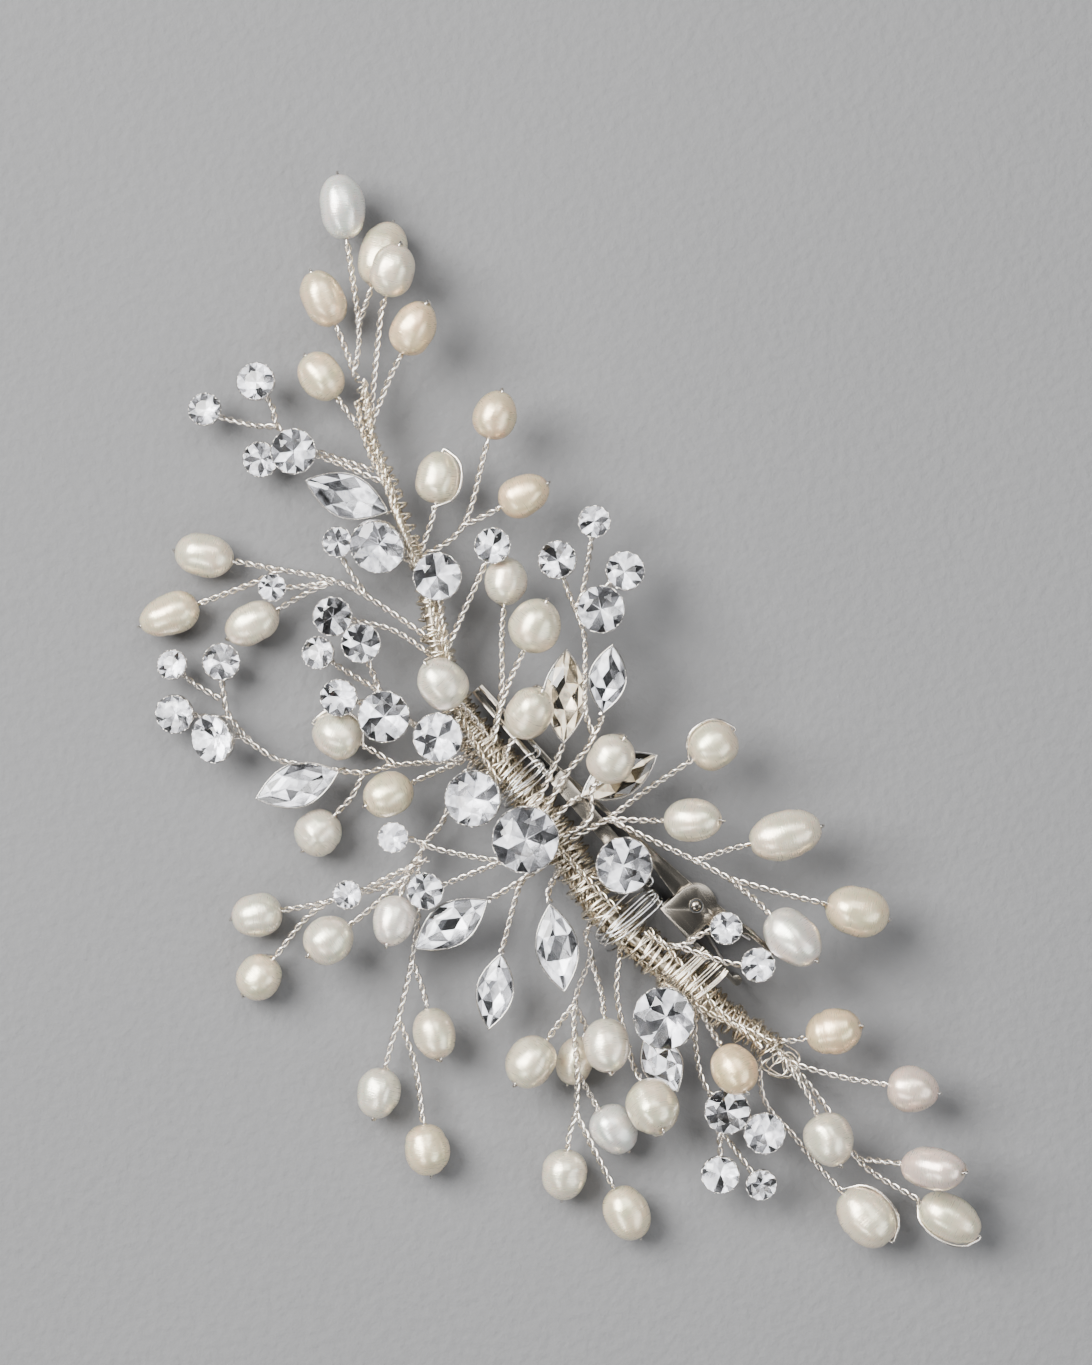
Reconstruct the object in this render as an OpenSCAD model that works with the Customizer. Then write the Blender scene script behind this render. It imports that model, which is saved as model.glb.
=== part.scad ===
// Bridal hair spray: drilled pearls and set crystals on twisted wire stems,
// bound along a wire spine to a spring-loaded alligator clip lying on its side.
// The clip runs along X from its jaw tips to its finger tabs, and its pivot stands along Z.

/* [Clip] */
// Length of the clip from the jaw tips to the finger tabs
clip_l = 45; // [34:0.5:60]
// Width of the clip across its ears, which is its height as it lies
clip_w = 7; // [6:0.25:9]
// Thickness of the stamped sheet
sheet_t = 0.55; // [0.4:0.05:0.7]
// Distance of the pivot from the finger tabs
pivot_back = 10; // [8:0.5:12]
// Height of the pivot above the base bar
pivot_rise = 3; // [2.6:0.1:3.6]
// Outer radius of the rounded ears
ear_r = 2.4; // [2:0.1:2.7]
// Diameter of the pivot pin
pin_d = 1; // [0.8:0.1:1.3]
// Running clearance of the lever on its pin, on the radius
pin_gap = 0.05; // [0.03:0.01:0.1]
// Space between the lever and the base ears
side_gap = 0.2; // [0.15:0.05:0.3]
// Diameter of the torsion spring's wire
spring_d = 0.4; // [0.3:0.05:0.5]
// Number of turns in the torsion spring
spring_turns = 5; // [3:1:6]

/* [Spray] */
// Width of a standard pearl, which the whole layout of the spray follows
pearl_w = 5.2; // [4:0.1:6.5]
// Diameter of a single wire
wire_d = 0.4; // [0.3:0.05:0.5]
// Width of two wires twisted together
twist_d = 0.84; // [0.6:0.02:1]
// Clearance of a wire in a pearl, on the radius
bore_gap = 0.05; // [0.03:0.01:0.1]
// Diameter of the wire bundle at its thickest
spine_d = 4; // [3:0.1:5]
// Wall of the cup that holds a crystal
cup_t = 0.2; // [0.15:0.01:0.3]
// Space between a crystal and its cup
cup_gap = 0.03; // [0.02:0.01:0.05]
// Diameter of the wire that lashes the bundle to the clip
lash_d = 0.42; // [0.3:0.02:0.5]
// Turns in each lashing
lash_turns = 5; // [3:1:6]

/* [Hidden] */
u = pearl_w / 5.2;
// The bundle lies high enough for its wires to cross over the bar and its pearls to clear the rest plane
wire_cross = 2.42;
pearl_reach = 4.65;
spine_h = max(clip_w + twist_d / 2 - wire_cross * u, pearl_reach * u);
steel = "silver";
wire_colour = "gainsboro";
pearl_colour = "ivory";
glass = "lightcyan";
tip_x = -clip_l / 2;
tab_x = clip_l / 2;
pivot_x = tab_x - pivot_back;
bar_y = -0.9;
pivot_y = bar_y + pivot_rise;
step_in = 0.8;
roll_r = 0.6;
jaw_gap = 0.03;
knee_x = pivot_x - 3;
knee_y = pivot_y + 0.9;
tab_y = pivot_y + 3.1;
shank = 0.5;
lash_band = lash_turns * lash_d * 1.15;
rear_lash_x = pivot_x - 4;
lash_span = 19.5;
front_lash_x = max(rear_lash_x - lash_span * u, tip_x + 3.5);
// The spray is laid out from the rear lashing, and its front is pushed on past the jaws of a longer clip
layout_x = 8.5;
layout_tip = -22.5;
push = min(0, tip_x - rear_lash_x - (layout_tip - layout_x) * u);
// A thicker bundle lies further from the bar
aside = -max(0, spine_d - 4) * u / 2;
flange_y = 0.6;
ear_z = sheet_t + side_gap;
bore_d = wire_d + 2 * bore_gap;
nub = 0.4;
girdle = 0.12;
crown = 0.16;
cup_depth = 0.42;
lap = 0.03;

// The spray is laid out in hand-set places, in millimetres for the standard pearl.
// x and y are the clip's own, and z is counted from the middle of the wire bundle.
// A pearl is [middle, width, length, wire route to its join].
// A round crystal is [middle of its girdle, diameter, lean in x and y, wire route].
// A navette is [free tip, wired tip, width, wire route].
// A stalk is a bare twisted wire through the points listed.

spine_path = [[-58.5, 13, 0, 0.9], [-51.5, 9, 0, 1.1], [-48, 8, 0, 1.3], [-43.5, 6.3, 0, 1.5],
    [-38.5, 4.2, 0, 1.8], [-33.5, 2, 0, 2.2], [-28.5, -1, 0, 2.8], [-21.5, -3.8, 0, 3.6],
    [-16, -4.2, 0, 4], [-9, -4.2, 0, 4], [-4, -4.6, 0, 4], [1, -5.5, 0, 4], [7, -6.2, 0, 4],
    [14, -5.2, 0, 4], [18, -4.6, 0, 3.8], [23, -4, 0, 3.4], [28, -2.6, 0, 3], [32, -1.8, 0, 2.4]];

tip_p = [
    [[-74, 24, 0], 5.2, 7.6, [[-62.5, 16.5, 0], [-59, 13, 0]]],
    [[-67, 24, -1.5], 5.4, 7.8, [[-62.5, 16.5, 0]]],
    [[-64.5, 23.5, 3.4], 5, 6.2, [[-61.5, 19, 2], [-55, 12, 0], [-53, 10, 0]]],
    [[-67.5, 15.5, 0.5], 4.9, 6.8, [[-62.5, 14, 0], [-58.5, 12.5, 0]]],
    [[-58, 21, 3], 4.9, 6.5, [[-55.5, 15, 1.5], [-53, 10, 0]]],
    [[-61, 9.5, 0], 4.9, 6, [[-55, 9, 0], [-51, 8.7, 0]]]];

left_fan_c = [
    [[-67, -3, -1], 3.6, [-0.2, 0], [[-62, 0, -1], [-60, 2, -1]]],
    [[-65.5, 3.5, 0], 4.2, [-0.2, 0], [[-62, 3, -1], [-60, 2, -1], [-56, 3, -1], [-49, 7, 0]]],
    [[-58.5, -2, -1], 3.9, [0, -0.3], [[-57, 1, -2], [-55, 3.5, -1]]],
    [[-56.5, 1.5, 2.4], 5, [0, 0], [[-54, 3.5, 0], [-47, 7, 0]]],
    [[-42, 1.5, 3.4], 6.2, [0.2, -0.5], [[-40, 3, 0], [-37.5, 3.4, 0]]]];
left_fan_n = [
    [[-53, 0.5, 1], [-44.5, 5, 1.2], 4.8, [[-43.5, 5.8, 0]]]];

right_fan_p = [
    [[-44.5, 21.5, 3], 4.9, 5.7, [[-37.5, 10.5, 1.5], [-38, 4.2, 0]]],
    [[-43.5, 12, 1], 5.1, 6.1, [[-40.5, 8.5, 0.8], [-38.5, 5, 0]]],
    [[-35.5, 18, 3], 4.7, 6.1, [[-37, 12, 2], [-37.5, 10.5, 1.5]]]];
right_fan_c = [
    [[-35, 4.5, 4], 5.3, [0, 0], [[-31.5, 2, 1.5], [-30, 0, 0.5]]]];

left_drop_p = [
    [[-54.5, -14, -2], 5, 6.9, [[-47.5, -8.5, -1], [-43, -5, -0.5], [-38.5, -3, 0], [-29.5, -0.6, 0]]],
    [[-52, -21.5, -2], 4.8, 7.2, [[-48.5, -12, -2], [-47.5, -8.5, -1]]],
    [[-45, -15, -1.5], 4.7, 6.6, [[-43.5, -8, -1], [-42.5, -5, -0.5]]]];
left_drop_c = [
    [[-46.5, -10.5, 0.8], 3, [0, 0], [[-44.5, -8, -0.6], [-42.5, -5, -0.5]]],
    [[-45.5, -1.5, 0.8], 3.3, [0, 0], [[-43, -2.5, -0.5], [-38.5, -3, 0]]]];

left_row_c = [
    [[-39.5, -7.5, 0.8], 4.3, [0, 0], [[-37, -5.5, -1.2], [-33.5, -3.2, -0.9], [-28.5, -1.8, -0.5]]],
    [[-35, -7, 3.4], 4.3, [0, 0], [[-32.5, -8, -0.4], [-29.5, -9, -0.3]]],
    [[-37.5, -11.5, 0], 3.6, [-0.2, -0.2], [[-35, -10.8, -1.4], [-29.5, -9, -0.3]]],
    [[-32, -13, 2.6], 4.1, [0, -0.2], [[-30, -11.5, -0.9], [-29.5, -9, -0.3]]],
    [[-27, -10.5, 3.4], 5.7, [0, 0], [[-27, -9.5, 0.4], [-24, -8.5, 0.4]]],
    [[-21.2, -7.4, 5.4], 5.4, [0, 0], [[-21, -6.8, 2.4], [-19.5, -6.2, 0.3]]]];
left_row_s = [[[-29.5, -9, -0.3], [-24, -8.5, 0.4], [-18, -5.4, 0.3]]];

curl_p = [
    [[-29, -16, -0.8], 5.4, 5.9, [[-25.2, -14.2, -1], [-22, -13.2, -1]]],
    [[-20, -16, 1.4], 5.1, 5.9, [[-18.8, -11.5, 0], [-17.6, -7.8, -0.4], [-17, -5.4, -0.4]]],
    [[-22, -25, -2], 5.3, 5.5, [[-22.6, -19.5, -2], [-23.8, -16.6, -1.4]]]];
curl_c = [
    [[-47.5, -25, -1.6], 3.3, [-0.3, 0], [[-44, -24.5, -3], [-41, -23.5, -3]]],
    [[-44, -20.5, -0.8], 4.1, [-0.1, 0.2], [[-41.5, -22.5, -2.6], [-38.5, -24, -2.6], [-32.5, -23.5, -1.8],
        [-28.5, -20.8, -1.6], [-24, -16.8, -1.4], [-22, -13.2, -1], [-18.2, -8, -0.6], [-17.5, -5.6, -0.4]]],
    [[-43, -28.5, -1.2], 4.3, [0, -0.3], [[-41, -26.5, -3.2], [-38.5, -24, -2.6]]],
    [[-38, -27, 1], 5.4, [-0.3, -0.6], [[-36, -24.5, -1.4], [-32.5, -23.5, -1.8]]]];
curl_n = [
    [[-29.5, -27.5, 0.6], [-25.8, -18.8, 0.2], 4.8, [[-25.4, -18, -1.4]]]];

heart_p = [
    [[-29.5, 10, 2.2], 4.8, 5.5, [[-25, 5.5, 3.2], [-20.5, 1.5, 3.2], [-16.5, -3.2, 1.4]]],
    [[-23.5, 9.2, 5.6], 5.7, 6.3, [[-20.5, 2.5, 3.6], [-17, -3.2, 1.4]]],
    [[-25.5, -3, 5.6], 5.5, 6.3, [[-19.5, -3, 2.6], [-17, -3.4, 1.4]]],
    [[-16.5, 2.2, 6], 5.2, 6.5, [[-15, -2.6, 3], [-14, -3.6, 1.4]]]];
heart_c = [
    [[-33.5, 11.5, 5], 3.9, [0, 0], [[-30, 4, 2.2], [-28.2, 0, 0.8]]]];

crest_c = [
    [[-28, 22, 4], 3.5, [0, 0], [[-23, 16, 2.6], [-22, 14, 2.6]]],
    [[-27.5, 16, 4], 4.2, [-0.2, 0], [[-24, 14.6, 2.2], [-22, 14, 2.6]]],
    [[-21.5, 21, 4], 4.3, [0, 0.2], [[-21.5, 18, 2.2], [-22, 14, 2.6]]],
    [[-20, 16, 6.6], 5.2, [0, 0], [[-21, 14.5, 3], [-22, 14, 2.6]]]];
crest_n = [
    [[-19, 10, 3.2], [-11.5, 3, 3.2], 4.8, [[-10.6, 1.4, 3.2], [-8.2, -3.8, 2]]],
    [[-16, 14.2, 7.4], [-11.2, 8.6, 7], 4, [[-10.4, 7.4, 5.8], [-9.6, 5.5, 4.6]]]];
crest_s = [[[-22, 14, 2.6], [-18.6, 12.4, 4.4], [-12.8, 7.4, 5], [-9.6, 5.5, 4.6],
    [-8.6, 1, 3.6], [-7, -3.9, 2]]];

wing_p = [
    [[-6.5, 5.8, 6.7], 5.3, 5.8, [[-5.2, 1.6, 5], [-3, -0.6, 3.6], [-3.4, -4, 2]]],
    [[0, 15.5, 3.2], 5.5, 5.8, [[-1.2, 6, 3], [-1.6, 1, 3], [-2.6, -3.6, 2]]],
    [[4.8, 8.2, 5.2], 4.9, 6.8, [[1.6, 4.4, 3.2], [-1.6, 1, 3]]],
    [[13, 15, 3.6], 5.5, 8.5, [[10, 9, 3.4], [8.5, 5.4, 3.2]]],
    [[25, 15.5, 2.2], 5.7, 7.4, [[18, 10.5, 2.8], [12.6, 7, 3.2]]],
    [[22.2, 8, 5.6], 5.5, 7.5, [[16.4, 7.6, 4.4], [12.6, 7, 3.2]]]];
wing_n = [
    [[-3.4, 9.8, 2.6], [-5.4, 0.6, 3], 4.6, [[-5.8, -1, 3], [-5.6, -3.6, 2.2]]]];
wing_c = [
    [[16.5, 3, 4.8], 3.5, [0, 0], [[15.4, 0.8, 2.8], [14.4, -2.6, 2.4], [11, -4.4, 1.4]]],
    [[22, 3, 4.8], 3.7, [0, 0], [[20, 0.8, 2.6], [14.4, -2.6, 2.4]]]];
wing_s = [[[-1.6, 1, 3], [3.5, 3.2, 2.9], [8.5, 5.4, 3.2], [12.6, 7, 3.2]]];

focal_c = [
    [[-6, -7.5, 6.3], 7.4, [0, 0], [[-5.6, -5.8, 2.2]]],
    [[-13.4, -9, 5], 6.2, [-0.1, -0.1], [[-14, -6.8, 1.8], [-14.4, -5.2, 1.4]]],
    [[3.5, -1, 6.3], 6.2, [0, 0.1], [[3, -3.4, 2.4], [2, -5, 1.6]]]];

low_spray_p = [
    [[-19.5, -36.5, -2], 5, 5.9, [[-15.4, -29.4, -1.4], [-11.5, -21.5, -0.8]]],
    [[-14, -41, -2], 5, 5.5, [[-15.5, -33, -1.6], [-15.4, -29.4, -1.4]]],
    [[-12, -32, 1], 5.4, 5.9, [[-11.6, -27.6, 0.4], [-11.5, -21.5, -0.8]]],
    [[-8.8, -25, 1.6], 4.8, 5.9, [[-11, -21.6, 0.4], [-12.6, -17.8, -0.8]]],
    [[4, -30, -0.4], 4.8, 6, [[-1, -27.6, -1.2], [-4, -26.5, -1.4]]],
    [[5, -39.4, -2], 5, 5.9, [[1.6, -34.5, -2], [0, -32, -1.8]]],
    [[13.5, -39.5, -2], 5.2, 6, [[5.4, -34.2, -1.8], [0, -32, -1.8]]]];
low_spray_c = [
    [[-16, -18.8, 1.4], 3.3, [0, 0], [[-14.4, -17.4, -0.4], [-11, -15.5, -0.6], [-5.4, -10.6, -0.4],
        [-4.4, -6, -0.4]]],
    [[-14.5, -27, 1.6], 3.1, [-0.2, 0], [[-13, -22.5, -0.4], [-11.5, -17.5, -0.6]]],
    [[-9, -20, 2.8], 4, [0, 0], [[-8, -17.6, 0.6], [-5.8, -11.4, -0.2]]]];
low_spray_s = [
    [[-16.6, -6, -0.6], [-15.6, -9.6, -0.8], [-13.6, -13.6, -0.8], [-12.6, -17.8, -0.8],
        [-8, -22, -1.6], [-4, -26.5, -1.4], [0, -32, -1.8]],
    [[-13, -16.5, -0.8], [-11.5, -21.5, -0.8]]];

leaf_n = [
    [[-4.8, -25, 1], [-3.6, -15.6, 1.4], 4.7, [[-3.2, -14, 0.6], [-2.4, -9, -0.2], [-2.2, -5.6, -0.4]]],
    [[7.5, -24.8, 0.6], [2.2, -18.4, 0.8], 4, [[1.2, -17, 0.4], [-2.4, -11.5, 0.2], [-2.4, -9, -0.2]]],
    [[9.8, -15.5, 2.4], [1.6, -10.4, 2.6], 4.6, [[0.2, -9.4, 1.8], [-1, -6.6, 1]]]];

low_bunch_p = [
    [[13.6, -23.8, 1], 5.5, 6.3, [[12.4, -18.6, 0.2], [12, -15.8, -0.6]]],
    [[17, -20, -2.4], 4.3, 5.7, [[15, -16.6, -2], [12, -15.8, -0.6]]],
    [[17.8, -16, 1.6], 5.2, 6.3, [[13, -12.6, 0.4], [9, -10.8, -0.8]]],
    [[26.4, -16.6, 2.2], 6, 6.6, [[21, -15, -1], [14.6, -11.6, -1.2], [11, -8, -0.8], [10, -6, -0.6]]],
    [[25.8, -21.8, -1.8], 5.2, 6, [[21.6, -21.4, -1.2], [18, -20.6, 0.6]]],
    [[26, -29.5, -2], 5.2, 5.9, [[22.8, -26, -1.4], [21.4, -23.8, -0.8]]],
    [[34, -27, -2], 5.2, 6.5, [[26.6, -25.2, -1.2], [21.4, -23.8, -0.8]]]];
low_bunch_s = [[[5.4, -6.2, -0.4], [6.8, -9.6, -0.8], [9, -10.8, -0.8], [12, -15.8, -0.6], [18, -20.6, 0.6],
    [21.4, -23.8, -0.8]]];

side_p = [[[29.2, -6.8, 3.6], 5.1, 6, [[24, -5.8, 2.4], [19.5, -4.8, 1]]]];
side_c = [
    [[19.5, -9, 5.8], 7, [-0.1, -0.3], [[19, -6.6, 2.2], [17.5, -5.2, 1.2]]],
    [[32.5, -10.6, 1.3], 5, [0, 0], [[31, -11, -2.2], [27.5, -10.2, -1.6], [23.5, -7.6, -0.6],
        [21, -4.8, -0.4]]],
    [[37, -9, 3.2], 4.5, [0, 0], [[34.6, -9.2, -1.8], [31, -11, -2.2]]],
    [[37.5, -16, 0.5], 4.2, [0.1, -0.2], [[33.4, -12.6, -2.2], [31, -11, -2.2]]],
    [[41.4, -13.2, 1], 3.4, [0.2, 0], [[38, -13, -1.4], [33.4, -12.6, -2.2]]]];
side_n = [[[27, -13.4, -0.6], [20, -11.8, -0.2], 4.4, [[18.8, -10.6, 0.6], [17.4, -5.8, 0]]]];

tail_p = [
    [[33.5, 4.5, 2], 5.2, 6.5, [[31.4, 0.4, 0.8], [29.5, -1.8, 0.2]]],
    [[44.5, 7, 1], 5.2, 6, [[38, 1.6, 0], [33, -1.6, 0], [31, -2, 0]]],
    [[42.5, -4, 1.8], 5.5, 6.3, [[37, -2.4, 0.6], [31.5, -1.8, 0.2]]],
    [[52.5, 2.8, 3.6], 4.9, 7.8, [[48.6, -0.8, 0.6], [46.5, -3, -1.4]]],
    [[58.5, 0.5, -0.6], 5.1, 7.8, [[50, -2.4, -1], [46.5, -3, -1.4], [41, -2, -2.2], [35, -1.6, -1.2],
        [31, -1.8, -0.2]]],
    [[52.2, -6.6, -1], 6, 7.8, [[44, -7, -1.8], [40, -6.8, -2.2], [34.4, -6.6, -2], [29.4, -3, -0.6]]]];

// Places

function forward(x) = min(1, max(0, (layout_x - lash_span - x) / 10.5));
function along(x) = rear_lash_x + u * (x - layout_x) + push * forward(x);
function at(p) = [along(p.x), u * p.y + aside, spine_h + u * p.z];
function ats(list) = [for (p = list) at(p)];
function unit(v) = v / norm(v);
function turn_to(v) = [0, acos(unit(v).z), atan2(v.y, v.x)];
function lean_axis(lean) = unit([lean.x, lean.y, 1]);
function pearl_axis(row) = unit(at(row[0]) - at(row[3][0]));
function pearl_foot(row) = at(row[0]) - pearl_axis(row) * (u * row[2] / 2 + twist_d / 2);
function pearl_head(row) = at(row[0]) + pearl_axis(row) * (u * row[2] / 2 + nub);
function cup_base(row) = at(row[0]) - lean_axis(row[2]) * (u * row[1] * cup_depth + cup_t + twist_d / 2 + lap);
function cup_shank(row) = cup_base(row) - lean_axis(row[2]) * shank;
function navette_axis(row) = unit(at(row[1]) - at(row[0]));
function navette_tail(row) = at(row[1]) + navette_axis(row) * (cup_t + twist_d / 2 + 0.25);
function navette_mid(row) = (at(row[0]) + at(row[1])) / 2;
function navette_l(row) = norm(at(row[1]) - at(row[0]));
// Radius of each side of a navette of length l and width w
function side_r(l, w) = (l * l + w * w) / (4 * w);

// Wires

module knot(p, d) {
    translate(p) sphere(d = d, $fn = 6);
}

module strand(path, d) {
    for (i = [0 : len(path) - 2]) hull() {
        knot(path[i], d);
        knot(path[i + 1], d);
    }
}

// One closed tube through the points of a path, with a flat ring at each point.
// Every ring is set out from the same direction, which the path never runs along.
module tube(path, d, up = [1, 0, 0], sides = 6) {
    n = len(path);
    dir = [for (i = [0 : n - 1]) unit(path[min(i + 1, n - 1)] - path[max(i - 1, 0)])];
    a = [for (i = [0 : n - 1]) unit(cross(dir[i], up))];
    b = [for (i = [0 : n - 1]) cross(dir[i], a[i])];
    points = [for (i = [0 : n - 1], k = [0 : sides - 1])
        path[i] + d / 2 * (a[i] * cos(360 * k / sides) + b[i] * sin(360 * k / sides))];
    walls = [for (i = [0 : n - 2], k = [0 : sides - 1], half = [0, 1])
        let (here = i * sides + k, beside = i * sides + (k + 1) % sides)
        half == 0 ? [here + sides, beside + sides, beside] : [here + sides, beside, here]];
    ends = [[for (k = [0 : sides - 1]) k], [for (k = [sides - 1 : -1 : 0]) (n - 1) * sides + k]];
    polyhedron(points, concat(walls, ends), convexity = 10);
}

module stems(pearl_rows = [], crystal_rows = [], navette_rows = [], stalks = []) {
    color(wire_colour) union() {
        for (row = pearl_rows) {
            strand([pearl_head(row), pearl_foot(row)], wire_d);
            strand(concat([pearl_foot(row)], ats(row[3])), twist_d);
        }
        for (row = crystal_rows) strand(concat([cup_base(row), cup_shank(row)], ats(row[3])), twist_d);
        for (row = navette_rows) strand(concat([navette_tail(row)], ats(row[3])), twist_d);
        for (path = stalks) strand(ats(path), twist_d);
    }
}

// Pearls and crystals

module pearl(w, l) {
    steps = 12;
    hole = asin(bore_d / w);
    rim = [for (i = [0 : steps])
        let (a = -90 + hole + i * (180 - 2 * hole) / steps) [w / 2 * cos(a), l / 2 * sin(a)]];
    rotate_extrude($fn = 32) polygon(concat(rim, [[bore_d / 2, rim[steps].y], [bore_d / 2, rim[0].y]]));
}

module pearls(rows) {
    color(pearl_colour)
    for (row = rows) translate(at(row[0])) rotate(turn_to(pearl_axis(row))) pearl(u * row[1], u * row[2]);
}

module round_crystal(d) {
    rotate_extrude($fn = 32) polygon([[0, -d * cup_depth + 0.1], [d * 0.08, -d * cup_depth + 0.1], [d / 2, 0],
        [d / 2, d * girdle * 0.4], [d * 0.28, d * crown], [0, d * crown]]);
}

module round_cup(d) {
    outer = d / 2 + cup_gap + cup_t;
    inner = d / 2 + cup_gap;
    deep = d * cup_depth + cup_t;
    rotate_extrude($fn = 32) polygon([[0, -deep], [d * 0.3, -deep], [outer, -d * 0.12], [outer, d * 0.03],
        [inner, d * 0.03], [inner, -d * 0.01], [d * 0.12, -deep + cup_t], [0, -deep + cup_t]]);
}

module lens(l, w) {
    r = side_r(l, w);
    intersection() {
        translate([0, r - w / 2]) circle(r, $fn = 96);
        translate([0, w / 2 - r]) circle(r, $fn = 96);
    }
}

module navette_stone(l, w) {
    linear_extrude(0.25) lens(l, w);
    translate([0, 0, 0.25]) linear_extrude(0.45, scale = 0.6) lens(l, w);
    mirror([0, 0, 1]) linear_extrude(0.5, scale = 0.4) lens(l, w);
}

module navette_cup(l, w) {
    difference() {
        translate([0, 0, -0.8]) linear_extrude(1) lens(l + 4 * cup_t, w + 2 * cup_t);
        translate([0, 0, -0.55]) linear_extrude(1) lens(l + 3 * cup_gap, w + 2 * cup_gap);
    }
}

module crystals(crystal_rows = [], navette_rows = []) {
    color(glass) {
        for (row = crystal_rows)
            translate(at(row[0])) rotate(turn_to(lean_axis(row[2]))) round_crystal(u * row[1]);
        for (row = navette_rows) on_navette(row) navette_stone(navette_l(row), u * row[2]);
    }
}

module settings(crystal_rows = [], navette_rows = []) {
    color(steel) {
        for (row = crystal_rows)
            translate(at(row[0])) rotate(turn_to(lean_axis(row[2]))) round_cup(u * row[1]);
        for (row = navette_rows) on_navette(row) navette_cup(navette_l(row), u * row[2]);
    }
}

// Lays its child along a navette's line, with its table upwards
module on_navette(row) {
    axis = navette_axis(row);
    translate(navette_mid(row)) rotate([0, -asin(axis.z), atan2(axis.y, axis.x)]) children();
}

// Clip

module ear(z) {
    translate([0, 0, z]) linear_extrude(sheet_t) difference() {
        union() {
            translate([pivot_x, pivot_y]) circle(ear_r, $fn = 48);
            translate([pivot_x - ear_r, bar_y]) square([2 * ear_r, pivot_rise]);
        }
        translate([pivot_x, pivot_y]) circle(d = pin_d + 0.04, $fn = 48);
    }
}

module clip_base() {
    lip = -bar_y - jaw_gap;
    flange_from = front_lash_x + lash_band / 2 + 0.6;
    flange_to = rear_lash_x - lash_band / 2 - 1.4;
    color(steel) union() {
        translate([tip_x, bar_y - sheet_t / 2, step_in])
            cube([pivot_x - ear_r - tip_x + lap, sheet_t, clip_w - 2 * step_in]);
        translate([tip_x, bar_y - sheet_t / 2, step_in]) cube([sheet_t, lip, clip_w - 2 * step_in]);
        translate([pivot_x - ear_r, bar_y - sheet_t / 2, 0]) cube([2 * ear_r + lap, sheet_t, clip_w]);
        ear(0);
        ear(clip_w - sheet_t);
        translate([flange_from, bar_y - sheet_t / 2, 0]) cube([flange_to - flange_from, sheet_t, clip_w]);
        for (z = [0, clip_w - sheet_t]) translate([flange_from, bar_y - sheet_t / 2, z])
            cube([flange_to - flange_from, flange_y - bar_y + sheet_t / 2, sheet_t]);
        linear_extrude(clip_w) polygon([[pivot_x + ear_r, bar_y - sheet_t / 2], [tab_x - roll_r, -sheet_t],
            [tab_x - roll_r, 0], [pivot_x + ear_r, bar_y + sheet_t / 2]]);
        translate([tab_x - roll_r, 0, 0]) cylinder(r = roll_r, h = clip_w, $fn = 32);
    }
}

module lever_plate(z, h) {
    bow_x = tip_x + 11.5;
    half = sheet_t / 2;
    translate([0, 0, z]) linear_extrude(h) polygon([
        [tip_x, -half], [bow_x, 0.3 - half], [knee_x, knee_y - half], [tab_x - roll_r, tab_y - half],
        [tab_x - roll_r, tab_y + half], [knee_x, knee_y + half], [bow_x, 0.3 + half], [tip_x, half]]);
}

module lever_cheek(z) {
    translate([0, 0, z]) linear_extrude(sheet_t) difference() {
        union() {
            translate([pivot_x, pivot_y]) circle(ear_r - 0.4, $fn = 48);
            polygon([[pivot_x - 12, 1.7], [pivot_x - 1.8, pivot_y - 1.2], [pivot_x + 1.6, pivot_y - 1.2],
                [tab_x - 4, tab_y - 1.2], [tab_x - 3, tab_y], [knee_x, knee_y]]);
        }
        translate([pivot_x, pivot_y]) circle(d = pin_d + 2 * pin_gap, $fn = 48);
    }
}

module clip_lever() {
    wide = clip_w - 2 * ear_z;
    color(steel) union() {
        lever_plate(ear_z, wide);
        lever_cheek(ear_z);
        lever_cheek(clip_w - ear_z - sheet_t);
        translate([tab_x - roll_r, tab_y, ear_z]) cylinder(r = roll_r, h = wide, $fn = 32);
    }
}

module pivot_pin() {
    head_h = 0.45;
    color(steel) translate([pivot_x, pivot_y, 0]) {
        cylinder(d = pin_d, h = clip_w, $fn = 48);
        translate([0, 0, clip_w]) rotate_extrude($fn = 48) polygon([[0, 0], [pin_d * 0.85, 0],
            [pin_d * 0.75, head_h * 0.6], [pin_d * 0.4, head_h], [0, head_h]]);
    }
}

// Spring

coil_r = pin_d / 2 + 0.1 + spring_d / 2;
leg_z = clip_w - ear_z - sheet_t - 0.15 - spring_d / 2;
coil_top = leg_z - spring_d - 0.1;
coil_low = ear_z + sheet_t + 0.15 + spring_d / 2;

module torsion_spring() {
    per_turn = 12;
    n = spring_turns * per_turn;
    coil = [for (i = [0 : n]) [pivot_x + coil_r * cos(-90 - i * 360 / per_turn),
        pivot_y + coil_r * sin(-90 - i * 360 / per_turn), coil_low + (coil_top - coil_low) * i / n]];
    leg_end = [tab_x - 2.5, spring_d / 2 - 0.1, coil_low];
    color(steel) tube(concat([leg_end], coil), spring_d, [0, 0, 1]);
}

// The leg that bears on the lever's tab, at its own height beside the coil
module spring_lever_leg() {
    bend = coil_r * cos(45);
    color(steel) tube([[pivot_x - coil_r, pivot_y, leg_z], [pivot_x - bend, pivot_y + bend, leg_z],
        [pivot_x, pivot_y + coil_r, leg_z], [tab_x - 3, tab_y - 1, leg_z]], spring_d, [0, 0, 1]);
}

// Lashings round the base bar and the bundle

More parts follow.
